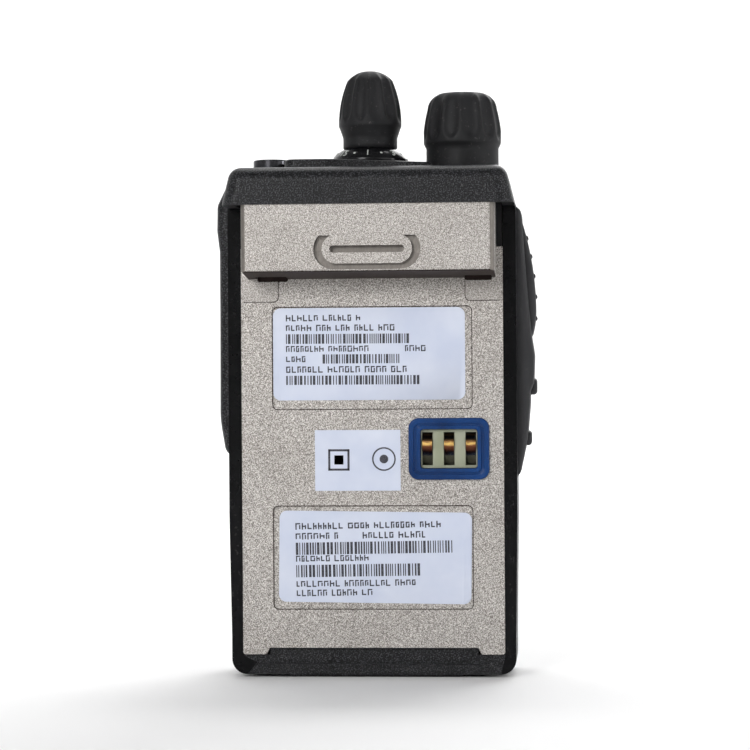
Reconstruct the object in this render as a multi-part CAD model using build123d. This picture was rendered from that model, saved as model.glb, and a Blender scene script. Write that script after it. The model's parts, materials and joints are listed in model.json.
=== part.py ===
from build123d import *
import os

# A compact two way radio with its battery pack and antenna taken off.
# X runs across it, Y from its front (-) to its back (+), Z up from the face it stands on.
# All sizes are in millimetres.

os.makedirs("parts", exist_ok=True)

# Overall sizes
body_height = 101.25        # standing face to the top of the raised deck
body_width = 55.8           # across the side walls at the base
body_depth = 30.5           # front face to the back of the cast block

# Front housing
wall = 2.1                  # side wall beside the chassis
front_wall = 2.0
top_wall = 2.0
side_swell = 0.4            # extra half width from mid height up
swell_low = 8.0             # height where the sides start to widen
swell_high = 32.0           # height where they are full width
base_corner = 3.0
shoulder_corner = 2.6
front_round = 3.0
foot_height = 0.6           # the middle of the base stands lower than its corners
foot_half = 18.0
ledge = 1.65                # shelf inside the side wall that carries the seal
bottom_wall = 5.7           # base to the lower edge of the chassis pocket
inner_bottom = 7.4          # base to the floor of the electronics space
base_groove = (2.6, 5.6)    # heights of the sunk strip below the chassis
base_groove_half = 23.0
groove_sink = 0.6
pip_pitch = 8.45
pip_height = 3.5
pip_radius = 0.45
deck_step = 1.85            # raised deck above the shoulders
deck_right = -14.5
deck_left = 16.6
deck_front = -12.6
deck_back = 9.5
deck_turn = 7.0             # where its back edge starts to slant forwards
deck_slant_end = -2.5       # how far forward the slant gets at its right end
cap_height = 7.3            # shoulder down to the lower edge of the cap
cap_lean = 1.8              # how far each of its sides leans in over that height
cap_wall = 2.0
cap_proud = 0.3             # cap behind the block's rear face
cap_round = 3.0
bay_depth = 11.0            # room for the battery pack behind the chassis floor
face_recess = 0.6           # keypad and display panel sunk into the front
face_half = 21.2
face_low = 5.4
face_high = 61.6
face_corner = 4.0

# Speaker and its grille
speaker_drop = 16.6         # cap edge down to the speaker's centre
speaker_radius = 13.3
speaker_depth = 4.6
basket_radius = 12.2
basket_wall = 0.6
felt_thick = 0.5
felt_radius = 14.9
magnet_radius = 7.2
magnet_depth = 2.6
pole_radius = 5.8
cone_thick = 0.3
grille_radius = 14.5
grille_pitch = 3.1
grille_slot = 1.5
bracket_thick = 0.8
bracket_half = 20.2
bracket_height = 8.0
post_radius = 1.6
post_reach = 18.4

# Microphone
mic_x = 20.6
mic_z = 20.0
mic_radius = 1.9
mic_depth = 1.5
boot_radius = 2.4
boot_depth = 2.8
mic_hole = 0.6

# Display
display_z = 53.4
window_width = 31.0
window_height = 12.4
window_thick = 1.0
window_lip = 1.5            # shelf that the window is bonded to
module_width = 34.0
module_height = 14.0
module_thick = 2.2

# Keypad
key_width = 9.6
key_height = 4.8
key_corner = 1.6
key_columns = 3
key_rows = 4
key_pitch_x = 12.0
key_pitch_z = 7.3
key_first_z = 12.2          # height of the bottom row
function_width = 8.0
function_height = 3.8
function_pitch = 9.6
function_count = 4
function_z = 42.4
key_proud = 0.5
key_gap = 0.2
key_flange = 0.7
key_travel = 0.5
membrane_half = 19.9
membrane_low = 8.2
membrane_thick = 1.2
board_thick = 1.0
dome_radius = 2.0
dome_height = 0.35
board_half = 23.0
keypad_top = 45.6
standoff_radius = 1.1

# Cast chassis
floor_thick = 1.6
fit_gap = 0.1               # chassis to housing, all round
chassis_low = 5.8
tab_inner = 21.1            # the lower corners reach further down beyond this half width
tab_low = 4.5
tab_slant = 0.6
block_height = 14.0         # exposed height of the block below the cap
block_half = 24.4
block_round = 1.2
block_slant = 1.0           # its underside rises this much towards the back
block_wall = 1.7
block_tuck = 4.4            # how far the block reaches up inside the cap
block_step = 2.05           # step down from its rear face where the cap covers it
label_sink = 0.25
recess_half = 19.6
upper_recess = (52.5, 72.6)
lower_recess = (13.35, 33.6)
pad_inner = 18.4            # low pads beside the block
pad_low = 73.7
pad_proud = 0.3
catch_places = ((16.4, 22.4), (-23.6, -18.3))
catch_deep = 1.4
catch_high = 3.5
catch_drop = 0.5            # it also reaches a little below the block, into the floor
catch_sink = 0.8
groove_depth = 1.0
groove_outer = 3.9
groove_inner = 2.8
groove_reach = 6.4
groove_z = 83.4
slot_length = 14.4
slot_height = 1.35
slot_depth = 1.5
boss_radius = 2.2
low_bosses = [(-20.0, 12.0), (20.0, 12.0), (20.0, 48.0), (-20.0, 60.0)]
boss_drop = 3.2             # the two upper bosses sit this far below the block

# Seals, boards and labels
seal_thick = 1.0
seal_width = 1.2
main_board_thick = 1.2
main_board_half = 22.8
main_board_low = 8.4
main_board_gap = 5.85       # chassis floor's front face to the board
can_height = 3.2
can_wall = 0.3
cans = [(0.0, 24.0, 31.0, 23.0), (6.0, 49.0, 22.0, 17.0), (0.0, 72.5, 31.0, 21.0)]
screw_radius = 0.95
screw_length = 5.2
screw_head = 1.8
screw_head_height = 1.1
screw_gap = 0.05
label_thick = 0.12
upper_label = (0.6, 63.35, 37.7, 18.1)
middle_label = (2.9, 42.5, 16.8, 11.9)
lower_label = (-0.4, 23.5, 37.8, 17.9)
lower_label_turn = 0.8
ribbon_width = 10.0
ribbon_thick = 0.2

# Battery contacts
contact_x = -15.0
contact_z = 44.7
contact_pitch = 4.25
contact_count = 3
leaf_width = 1.9
leaf_thick = 0.3
leaf_rise = 0.5             # crest behind the chassis floor
leaf_travel = 0.9
slot_gap = 0.1              # leaf to the rib on each side of it
seal_outer = (15.8, 12.05)
seal_inner = (11.2, 7.7)
seal_stem = 1.1
seal_proud = 0.8
block_base = (12.8, 9.4)

# Knobs, switches and antenna socket on the deck
knob_y = -6.0
channel_x = 0.8
volume_x = -17.6
channel_height = 18.55
channel_radius = 6.25
channel_stem = 5.4
channel_dome = 7.6
channel_dome_height = 2.65
volume_height = 15.65       # above the shoulder, where this knob stands
volume_radius = 7.7
volume_collar = 7.2
flute_count = 12
flute_radius = 1.25
shaft_radius = 3.0
shaft_gap = 0.05
shaft_reach = 11.0
shaft_flat = 1.0
bush_radius = 4.0
bush_proud = 1.7
turn_gap = 0.3
switch_width = 10.6
switch_depth = 9.0
switch_height = 6.6
antenna_x = 20.2
antenna_y = -3.0
antenna_ring = 3.75
antenna_shank = 3.3
antenna_bore = 2.75
antenna_length = 8.6
antenna_proud = 0.75        # ring above the raised deck
pin_radius = 0.8
pin_base = 2.2
button_x = 12.5
button_y = -7.0
button_radius = 2.5
button_gap = 0.2
button_sink = 0.2
button_travel = 0.8
button_well = 3.3
led_x = -8.2
led_y = -10.8
led_radius = 1.1

# Right side, where the talk button and two side buttons are
# What stands out from a side is measured from the wall at mid height.
bezel_sink = 1.2            # depth of the pocket that the bezel lies in
bezel_front = -11.6
bezel_back = 1.6
bezel_low = 38.8
bezel_high = 93.2
ptt_low = 66.45
ptt_high = 90.0
ptt_front = -9.6
ptt_back = -0.4
ptt_proud = 3.8
ptt_bow = (0.8, 2.85)       # how far its face falls back at its lower and upper ends
ptt_travel = 1.0
ptt_gap = 0.25
press_gap = 0.2             # left between a pressed button and its dome
rib_places = (0.16, 0.342, 0.516, 0.681, 0.834)   # up the talk button, as parts of its height
rib_radius = 0.5
side_button_heights = (56.75, 46.55)
side_button_proud = (3.9, 2.8)
side_button_length = 7.0
side_button_tall = (3.3, 2.9)
side_button_travel = 0.6
side_board_thick = 0.8
side_dome = 0.3

# Left side, with the grip and the accessory connector
grip_proud = 2.2
grip_front = -12.0
grip_back = 2.0
grip_low = 43.2
grip_high = 96.4
grip_round = 2.0
grip_lobe = 0.4             # the grip's upper end stands a little further out
cover_low = 58.0
cover_high = 93.0
cover_front = -10.0
cover_back = 0.0
cover_thick = 1.9
cover_gap = 0.15
accessory_screw_z = 89.4
accessory_head = 2.4
accessory_head_height = 1.0
accessory_shank = 1.2
accessory_reach = 5.6
pad_rows = 5
pad_pitch = 3.4

# Planes and lines that the pieces share
front = -body_depth / 2
rear = body_depth / 2
floor = rear - bay_depth
deck = body_height
shoulder = deck - deck_step
cap_low = shoulder - cap_height
roof = shoulder - top_wall
half = body_width / 2
upper_half = half + side_swell
bay_half = half - wall
inner_half = bay_half - ledge
inner_front = front + front_wall
face = front + face_recess
floor_front = floor - floor_thick
ledge_y = floor_front - seal_thick
cap_rear = rear + cap_proud
cap_inner = cap_rear - cap_wall
block_low = cap_low - block_height
block_top = cap_low + block_tuck
speaker_z = cap_low - speaker_drop
speaker_front = inner_front + felt_thick
speaker_back = speaker_front + speaker_depth
flange_back = inner_front + 0.2 + key_flange
membrane_y = flange_back + key_travel + key_gap
keypad_y = membrane_y + membrane_thick
main_y = floor_front - main_board_gap
board_top = roof - switch_height - 1.4
bezel_seat = upper_half - bezel_sink
ptt_outer = upper_half + ptt_proud
grip_outer = upper_half + grip_proud
ptt_inner = inner_half + side_dome + ptt_travel + press_gap
side_button_inner = inner_half + side_dome + side_button_travel + press_gap
chassis_half = bay_half - fit_gap
boss_places = low_bosses + [(-20.0, block_low - boss_drop), (20.0, block_low - boss_drop)]
bore = shaft_radius + shaft_gap


def slab(outline, y_front, y_back):
    """An outline in X and Z, solid between two depths."""
    return extrude(Plane.XZ.offset(-y_back) * outline, y_back - y_front, dir=(0, -1, 0))


def column(outline, low, high):
    """An outline in X and Y, solid between two heights."""
    return extrude(Plane.XY.offset(low) * outline, high - low, dir=(0, 0, 1))


def beam(outline, right, left):
    """An outline in Y and Z, solid between two X positions."""
    return extrude(Plane.YZ.offset(right) * outline, left - right, dir=(1, 0, 0))


def rectangle(left, right, low, high, radius=0.0):
    """A rectangle between two pairs of lines, with rounded corners if a radius is given."""
    width = abs(right - left)
    place = Pos((left + right) / 2, (low + high) / 2)
    if radius:
        return place * RectangleRounded(width, high - low, radius)
    return place * Rectangle(width, high - low)


def outline(points, radii):
    """A closed outline with one corner radius for each point."""
    return make_face(FilletPolyline(*points, radius=radii, close=True))


def turned(edges, x, y):
    """A profile of radius and height, turned about an upright axis."""
    return Pos(x, y, 0) * revolve(Plane.XZ * make_face(edges), Axis.Z)


def round_edges(solid, radius, test):
    """Rounds the edges whose middle passes the test."""
    return fillet([e for e in solid.edges() if test(e.center())], radius)


def body_outline(low):
    """The radio's outline seen from behind: sides that widen a little to mid height."""
    right = [(-upper_half + cap_lean, shoulder), (-upper_half, cap_low), (-upper_half, swell_high),
             (-half, swell_low), (-half, low)]
    left = [(-x, z) for x, z in reversed(right)]
    radii = [shoulder_corner, 10.0, 40.0, 40.0, base_corner]
    radii += reversed(radii)
    return outline(right + left, radii)


def key_places():
    """Number keys by row and column: name, X, Z."""
    names = ["star", "0", "hash", "7", "8", "9", "4", "5", "6", "1", "2", "3"]
    places = []
    for i, name in enumerate(names):
        row, column_number = divmod(i, key_columns)
        # seen from the front, the left column is on the -X side
        x = (column_number - (key_columns - 1) / 2) * key_pitch_x
        places.append((f"key_{name}", x, key_first_z + row * key_pitch_z))
    return places


def function_places():
    places = []
    for i in range(function_count):
        x = (i - (function_count - 1) / 2) * function_pitch
        places.append((f"function_key_{i + 1}", x, function_z))
    return places


# ---- right side outlines -------------------------------------------------

def bezel_outline():
    """The bezel's swelling, from its seat in the wall outwards."""
    upper_step, lower_step = side_button_heights
    outer = [(-bezel_sink, bezel_low), (0.5, bezel_low + 0.6), (1.6, lower_step - 2.0), (2.05, lower_step + 0.4),
             (2.6, upper_step - 3.2), (2.6, upper_step - 1.0), (3.3, upper_step + 0.6), (3.5, ptt_low - 3.6),
             (2.9, ptt_low + 0.3), (2.1, ptt_low + 9.5), (1.0, bezel_high - 1.9), (-bezel_sink, bezel_high)]
    points = [(-upper_half - x, z) for x, z in outer]
    return outline(points, [0, 1.2, 2.0, 2.0, 2.0, 0.6, 0.6, 4.0, 1.5, 12.0, 1.4, 0])


def ptt_line(z):
    """Half width of the talk button's outer face at a height."""
    middle = ptt_low + 5.2
    if z <= middle:
        return ptt_outer - ptt_bow[0] * ((middle - z) / (middle - ptt_low)) ** 2
    return ptt_outer - ptt_bow[1] * ((z - middle) / (ptt_high - middle)) ** 2


def ptt_outline():
    middle = ptt_low + 5.2
    upper = (middle + ptt_high) / 2
    lower_end = (-ptt_line(ptt_low), ptt_low)
    crest = (-ptt_outer, middle)
    upper_end = (-ptt_line(ptt_high), ptt_high)
    lower_arc = ThreePointArc(lower_end, (-ptt_line((ptt_low + middle) / 2), (ptt_low + middle) / 2), crest)
    upper_arc = ThreePointArc(crest, (-ptt_line(upper), upper), upper_end)
    straight = Polyline(upper_end, (-ptt_inner, ptt_high), (-ptt_inner, ptt_low), lower_end)
    return make_face(lower_arc + upper_arc + straight)


# ---- housing -------------------------------------------------------------

def grip_outline():
    """The grip on the left side, ending below the shoulder."""
    root = upper_half - 3.2
    lobe = grip_outer + grip_lobe
    points = [(root, grip_low), (upper_half + 1.0, grip_low), (grip_outer, 50.5), (grip_outer - 0.15, grip_high - 13.0),
              (lobe, grip_high - 8.5), (lobe - 0.1, grip_high - 3.5), (upper_half + 0.8, grip_high), (root, grip_high)]
    return outline(points, [0, 2.4, 20.0, 4.0, 3.0, 2.4, 1.0, 0])


def housing_shell():
    shell = slab(body_outline(foot_height), front, floor)
    shell = round_edges(shell, front_round, lambda c: abs(c.Y - front) < 0.01)
    cap = slab(body_outline(foot_height), floor - 2.0, cap_rear)
    cap = round_edges(cap, cap_round, lambda c: abs(c.Y - cap_rear) < 0.01)
    cap -= slab(rectangle(-60, 60, -1, cap_low), floor - 3.0, cap_rear + 1)
    shell += cap
    foot = column(rectangle(-foot_half, foot_half, front + 2.6, floor - 0.8, 2.0), 0, foot_height + 1)
    shell += round_edges(foot, 0.4, lambda c: c.Z < 0.01)
    points = [(deck_left, deck_front), (deck_left, deck_back), (deck_turn, deck_back), (deck_right, deck_slant_end),
              (deck_right, deck_front)]
    raised = outline(points, [2.5, 2.5, 8.0, 0, 0]) - Pos(volume_x, knob_y) * Circle(volume_collar + 0.4)
    raised = column(raised, shoulder - 2.0, deck)
    shell += round_edges(raised, 0.5, lambda c: abs(c.Z - deck) < 0.01)
    grip = slab(grip_outline(), grip_front, grip_back)
    outer_edge = lambda c: c.X > half + 0.3 and (c.Y < grip_front + 0.01 or c.Y > grip_back - 0.01)
    shell += round_edges(grip, grip_round, outer_edge)
    return shell


def housing_cavity():
    """The electronics space, the chassis pocket behind it and the hollow of the cap."""
    space = slab(rectangle(-inner_half, inner_half, inner_bottom, roof, 1.2), inner_front, ledge_y + 1)
    space += slab(rectangle(-bay_half, bay_half, bottom_wall, roof, 0.8), ledge_y, cap_inner)
    for side in (-1, 1):
        corner = rectangle(side * (tab_inner - tab_slant - fit_gap), side * bay_half, tab_low - fit_gap, 12.0)
        space += slab(corner, ledge_y, floor + 1)
    return space


def front_housing():
    body = housing_shell() - housing_cavity()
    # sunk strip below the chassis, with its five pips
    body -= slab(rectangle(-base_groove_half, base_groove_half, *base_groove, 0.4), floor - groove_sink, floor + 1)
    for i in range(-2, 3):
        body += slab(Pos(i * pip_pitch, pip_height) * Circle(pip_radius), floor - groove_sink - 0.2, floor - 0.1)
    # face panel with the display window's seat, the keys, the microphone and the grille
    body -= slab(rectangle(-face_half, face_half, face_low, face_high, face_corner), front - 1, face)
    body -= slab(Pos(0, display_z) * RectangleRounded(window_width, window_height, 1.2), front, face + window_thick)
    opening = RectangleRounded(window_width - 2 * window_lip, window_height - 2 * window_lip, 0.8)
    body -= slab(Pos(0, display_z) * opening, front, inner_front + 1)
    for name, x, z in key_places():
        hole = RectangleRounded(key_width + 2 * key_gap, key_height + 2 * key_gap, key_corner + key_gap)
        body -= slab(Pos(x, z) * hole, front - 1, inner_front + 1)
    for name, x, z in function_places():
        hole = RectangleRounded(function_width + 2 * key_gap, function_height + 2 * key_gap, 1.4 + key_gap)
        body -= slab(Pos(x, z) * hole, front - 1, inner_front + 1)
    body -= slab(Pos(mic_x - 1.6, mic_z) * Circle(mic_hole), front - 1, inner_front + 1)
    rows = int(grille_radius / grille_pitch)
    for i in range(-rows, rows + 1):
        reach = (grille_radius ** 2 - (i * grille_pitch) ** 2) ** 0.5
        slot = SlotOverall(2 * reach, grille_slot)
        body -= slab(Pos(0, speaker_z + i * grille_pitch) * slot, front - 1, inner_front + 1)
    for side in (-1, 1):
        body += slab(Pos(side * post_reach, speaker_z) * Circle(post_radius), inner_front - 0.5, speaker_back)
        for z in (membrane_low + 1.4, keypad_top - 1.4):
            post = Circle(standoff_radius)
            body += slab(Pos(side * (board_half - 1.5), z) * post, inner_front - 0.5, keypad_y)
    # holes in the deck
    for x in (channel_x, volume_x):
        body -= column(Pos(x, knob_y) * Circle(bush_radius + shaft_gap), roof - 1, deck + 1)
    body -= column(Pos(antenna_x, antenna_y) * Circle(antenna_shank), roof - 1, deck + 1)
    body -= column(Pos(antenna_x, antenna_y) * Circle(antenna_ring), shoulder, deck + 1)
    body -= column(Pos(button_x, button_y) * Circle(button_radius + button_gap), roof - 1, deck + 1)
    body -= column(Pos(button_x, button_y) * Circle(button_well), deck - 1.0, deck + 1)
    body -= column(Pos(led_x, led_y) * Circle(led_radius), roof - 1, deck + 1)
    # right side: the bezel's pocket and the button openings
    pocket = rectangle(bezel_front, bezel_back, bezel_low, bezel_high, 3.0)
    body -= beam(pocket, -upper_half - 4, -bezel_seat)
    hole = rectangle(ptt_front - ptt_gap, ptt_back + ptt_gap, ptt_low - ptt_gap, ptt_high + ptt_gap, 2.0)
    body -= beam(hole, -bezel_seat - 1, -inner_half + 1)
    for z, tall in zip(side_button_heights, side_button_tall):
        hole = SlotOverall(side_button_length + 2 * ptt_gap, tall + 2 * ptt_gap)
        body -= beam(Pos((ptt_front + ptt_back) / 2, z) * hole, -bezel_seat - 1, -inner_half + 1)
    # left side: the accessory cover's seat, its screw and the contacts
    seat = rectangle(cover_front - cover_gap, cover_back + cover_gap, cover_low - cover_gap,
                     cover_high + cover_gap, 2.0 + cover_gap)
    body -= beam(seat, grip_outer - cover_thick, grip_outer + 2)
    middle = (cover_front + cover_back) / 2
    body -= beam(Pos(middle, accessory_screw_z) * Circle(accessory_shank + shaft_gap),
                 grip_outer - cover_thick - accessory_reach - 0.5, grip_outer)
    body -= beam(accessory_field(), grip_outer - cover_thick - 0.6, grip_outer)
    return body


def accessory_field():
    """Outline of the contact plate under the accessory cover."""
    middle = (cover_front + cover_back) / 2
    low = cover_low + 3.0
    return rectangle(middle - 3.4, middle + 3.4, low, low + pad_rows * pad_pitch + 1.2, 0.8)


# ---- speaker and microphone ----------------------------------------------

def disc(radius, y_front, y_back):
    return slab(Pos(0, speaker_z) * Circle(radius), y_front, y_back)


def speaker_frame():
    flange = disc(speaker_radius, speaker_front, speaker_front + 1.2)
    basket = disc(basket_radius, speaker_front, speaker_back)
    frame = flange + basket - disc(basket_radius - basket_wall, speaker_front - 1, speaker_back - basket_wall)
    frame -= disc(pole_radius + 0.1, speaker_back - 2, speaker_back + 1)
    for i in range(4):
        window = Pos(0, speaker_z) * Rot(0, 0, 45 + 90 * i) * Pos(8.8, 0) * RectangleRounded(2.6, 7.0, 0.8)
        frame -= slab(window, speaker_back - 1, speaker_back + 1)
    return frame


def speaker_cone():
    rim = basket_radius - basket_wall - 0.1
    y_rim = speaker_front + 0.9
    y_neck = speaker_back - basket_wall - 0.9
    profile = Polyline((0.0, y_neck), (3.0, y_neck), (rim - 1.6, y_rim), (rim, y_rim), (rim, y_rim - cone_thick),
                       (rim - 1.7, y_rim - cone_thick), (2.9, y_neck - cone_thick), (0.0, y_neck - cone_thick),
                       close=True)
    cone = revolve(make_face(profile), Axis.Y)
    return Pos(0, 0, speaker_z) * cone


def speaker_magnet():
    magnet = disc(magnet_radius, speaker_back, speaker_back + magnet_depth)
    pole = disc(pole_radius, speaker_back - basket_wall, speaker_back)
    return round_edges(magnet, 0.4, lambda c: c.Y > speaker_back + magnet_depth - 0.01) + pole


def speaker_bracket():
    strip = Pos(0, speaker_z) * RectangleRounded(2 * bracket_half, bracket_height, 1.5)
    strip -= Pos(0, speaker_z) * Circle(magnet_radius + 0.15)
    keeper = Pos(0, speaker_z) * (Circle(magnet_radius + 1.6) - Circle(magnet_radius + 0.15))
    return slab(strip + keeper, speaker_back, speaker_back + bracket_thick)


def microphone():
    place = Pos(mic_x, mic_z)
    return slab(place * Circle(mic_radius), inner_front + boot_depth - mic_depth, inner_front + boot_depth)


def microphone_boot():
    place = Pos(mic_x, mic_z)
    boot = slab(place * Circle(boot_radius), inner_front, inner_front + boot_depth)
    boot -= slab(place * Circle(mic_radius), inner_front + boot_depth - mic_depth, inner_front + boot_depth + 1)
    channel = Pos(mic_x - 0.8, mic_z) * SlotOverall(1.6 + 2 * mic_hole, 2 * mic_hole)
    return boot - slab(channel, inner_front - 1, inner_front + boot_depth)


# ---- display and keypad --------------------------------------------------

def display_window():
    pane = slab(Pos(0, display_z) * RectangleRounded(window_width, window_height, 1.2), face, face + window_thick)
    return round_edges(pane, 0.3, lambda c: c.Y < face + 0.01)


def display_module():
    case = slab(Pos(0, display_z) * RectangleRounded(module_width, module_height, 0.8),
                inner_front, inner_front + module_thick)
    pane = Pos(0, display_z) * Rectangle(window_width - 2 * window_lip - 2, window_height - 2 * window_lip - 2)
    return case - slab(pane, inner_front - 1, inner_front + 0.3)


def around_microphone():
    return Pos(mic_x, mic_z) * Circle(boot_radius + 0.2)


def keypad_membrane():
    sheet = rectangle(-membrane_half, membrane_half, membrane_low, keypad_top, 1.0) - around_microphone()
    membrane = slab(sheet, membrane_y, keypad_y)
    for name, x, z in key_places() + function_places():
        membrane -= slab(Pos(x, z) * Circle(dome_radius + 0.3), keypad_y - dome_height - 0.1, keypad_y + 1)
    return membrane


def keypad_board():
    sheet = rectangle(-board_half, board_half, membrane_low, keypad_top, 1.0) - around_microphone()
    return slab(sheet, keypad_y, keypad_y + board_thick)


def keypad_domes():
    domes = Part()
    for name, x, z in key_places() + function_places():
        low = slab(Pos(x, z) * Circle(dome_radius), keypad_y - dome_height / 2, keypad_y)
        high = slab(Pos(x, z) * Circle(dome_radius * 0.65), keypad_y - dome_height, keypad_y - dome_height / 2)
        domes += low + high
    return domes


def key(x, z, width, height, corner):
    """One key: a crowned cap and the flange that keeps it behind the panel."""
    cap = slab(Pos(x, z) * RectangleRounded(width, height, corner), face - key_proud, inner_front + 0.2)
    cap = round_edges(cap, 0.4, lambda c: c.Y < face - key_proud + 0.01)
    flange = RectangleRounded(width + 2 * key_flange, height + 2 * key_flange, corner + key_flange)
    return cap + slab(Pos(x, z) * flange, inner_front + 0.2, flange_back)


# ---- chassis, seals, boards ----------------------------------------------

def block_shell():
    block = slab(rectangle(-block_half, block_half, block_low, cap_low), floor_front, rear)
    wedge = Polyline((floor, block_low), (rear, block_low + block_slant), (rear, block_low - 1), (floor, block_low - 1),
                     close=True)
    block -= beam(make_face(wedge), -block_half, block_half)
    block = round_edges(block, block_round, lambda c: c.Y > rear - 0.01 and abs(c.X) > block_half - 0.01)
    block = round_edges(block, 0.4, lambda c: c.Y > rear - 0.01 and c.Z < block_low + block_slant + 0.01)
    tuck = rectangle(-block_half, block_half, cap_low - 1, block_top)
    block += slab(tuck, floor_front, rear - block_step)
    hollow = rectangle(block_wall - block_half, block_half - block_wall, block_low + block_wall,
                       block_top - block_wall, 1.0)
    return block - slab(hollow, floor_front - 1, rear - block_step - block_wall)


def clip_groove():
    """The U groove and centre slot in the block's rear face that a belt clip hooks into."""
    reach = 2 * (groove_reach + groove_outer)
    ring = SlotOverall(reach, 2 * groove_outer)
    ring -= SlotOverall(2 * (groove_reach + groove_inner) - 1.0, 2 * groove_inner)
    ring -= Pos(0, groove_outer) * Rectangle(reach + 2, 2 * (groove_outer - 2.6))
    groove = slab(Pos(0, groove_z) * ring, rear - groove_depth, rear + 1)
    slot = SlotOverall(slot_length, slot_height)
    return groove + slab(Pos(0, groove_z) * slot, rear - slot_depth, rear + 1)


def chassis_outline():
    """The floor plate, whose two lower corners reach further down."""
    side = [(chassis_half, block_low + 6), (chassis_half, tab_low), (tab_inner, tab_low),
            (tab_inner - tab_slant, chassis_low)]
    points = side + [(-x, z) for x, z in reversed(side)]
    return outline(points, [0, 0.5, 0.5, 0.3, 0.3, 0.5, 0.5, 0])


def chassis():
    plate = slab(chassis_outline(), floor_front, floor)
    for side in (-1, 1):
        pad = rectangle(side * pad_inner, side * (chassis_half - 0.4), pad_low, block_low + 1, 0.9)
        plate += slab(pad, floor - 0.5, floor + pad_proud)
    opening = rectangle(block_wall - block_half, block_half - block_wall, block_low + block_wall, deck)
    metal = plate - slab(opening, floor_front - 1, rear) + block_shell() - clip_groove()
    for low, high in (upper_recess, lower_recess):
        metal -= slab(rectangle(-recess_half, recess_half, low, high, 1.0), floor - label_sink, floor + 1)
    for right, left in catch_places:
        notch = rectangle(right, left, block_low - catch_drop, block_low + catch_deep, 0.4)
        metal -= slab(notch, floor - catch_sink, floor + catch_high)
    stem = (seal_inner[0] + 2 * seal_stem, seal_inner[1] + 2 * seal_stem)
    metal -= slab(Pos(contact_x, contact_z) * RectangleRounded(*stem, 1.2), floor_front - 1, floor + 1)
    for x, z in boss_places:
        metal += slab(Pos(x, z) * Circle(boss_radius), main_y, floor_front + 0.3)
        metal -= slab(Pos(x, z) * Circle(screw_radius + screw_gap), main_y - 1, floor_front - 0.4)
    return metal


def main_seal():
    outer = rectangle(-chassis_half + 0.2, chassis_half - 0.2, bottom_wall + 0.3, block_top, 1.0)
    inset = seal_width + 0.2
    inner = rectangle(-chassis_half + inset, chassis_half - inset, bottom_wall + 0.1 + inset,
                      block_top - seal_width, 0.8)
    return slab(outer - inner, ledge_y, floor_front)


def main_board():
    sheet = rectangle(-main_board_half, main_board_half, main_board_low, board_top, 1.5)
    for x, z in boss_places:
        sheet -= Pos(x, z) * Circle(screw_radius + 0.25)
    return slab(sheet, main_y - main_board_thick, main_y)


def shield_cans():
    group = Part()
    for x, z, width, height in cans:
        can = slab(Pos(x, z) * RectangleRounded(width, height, 1.0), main_y, main_y + can_height)
        inner = RectangleRounded(width - 2 * can_wall, height - 2 * can_wall, 0.7)
        group += can - slab(Pos(x, z) * inner, main_y - 1, main_y + can_height - can_wall)
    return group


def board_screws():
    group = Part()
    for x, z in boss_places:
        face_y = main_y - main_board_thick
        head = slab(Pos(x, z) * Circle(screw_head), face_y - screw_head_height, face_y)
        head -= slab(Pos(x, z) * Rectangle(2.4, 0.5), face_y - screw_head_height - 1, face_y - 0.6)
        head -= slab(Pos(x, z) * Rectangle(0.5, 2.4), face_y - screw_head_height - 1, face_y - 0.6)
        group += head + slab(Pos(x, z) * Circle(screw_radius), face_y, face_y + screw_length)
    return group


def ribbon_cable():
    """The flexible strip that loops from the keypad board to the main board."""
    y_near = keypad_y + board_thick + ribbon_thick / 2
    y_far = main_y - main_board_thick - ribbon_thick / 2
    bend = (y_far - y_near) / 2 - 0.05
    path = FilletPolyline((y_near, 37.0), (y_near, 22.0), (y_far, 22.0), (y_far, 34.0), radius=bend)
    return beam(trace(path, ribbon_thick), -ribbon_width / 2, ribbon_width / 2)


def label(place, y_face, corner, turn=0.0):
    x, z, width, height = place
    shape = RectangleRounded(width, height, corner) if corner else Rectangle(width, height)
    return slab(Pos(x, z) * Rot(0, 0, turn) * shape, y_face, y_face + label_thick)


# ---- battery contacts ----------------------------------------------------

def contact_places():
    return [contact_x + (i - (contact_count - 1) / 2) * contact_pitch for i in range(contact_count)]


def contact_block():
    """Moulded block on the main board, with one channel for each spring leaf."""
    shelf = floor_front - 0.35
    base = slab(Pos(contact_x, contact_z) * RectangleRounded(*block_base, 0.8), main_y, shelf)
    top = (seal_inner[0] - 0.2, seal_inner[1] - 0.2)
    block = base + slab(Pos(contact_x, contact_z) * RectangleRounded(*top, 0.5), main_y, floor - 0.5)
    for x in contact_places():
        channel = Rectangle(leaf_width + 2 * slot_gap, seal_inner[1] - 1.2)
        block -= slab(Pos(x, contact_z) * channel, shelf - 3.2, floor + 1)
    return block


def battery_contacts():
    """Three bowed spring leaves, whose crests stand a little behind the chassis floor."""
    crest = floor + leaf_rise
    foot = floor_front - 0.35 - 3.2 + leaf_travel + 0.15
    reach = (seal_inner[1] - 1.2) / 2 - 0.25
    path = FilletPolyline((foot, contact_z - reach), (foot + 1.6, contact_z - reach), (crest, contact_z + 1.0),
                          (crest - 1.6, contact_z + reach - 0.1), (foot + 1.2, contact_z + reach),
                          radius=[0.8, 1.4, 0.8])
    group = Part()
    for x in contact_places():
        group += beam(trace(path, leaf_thick), x - leaf_width / 2, x + leaf_width / 2)
    return group


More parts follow.
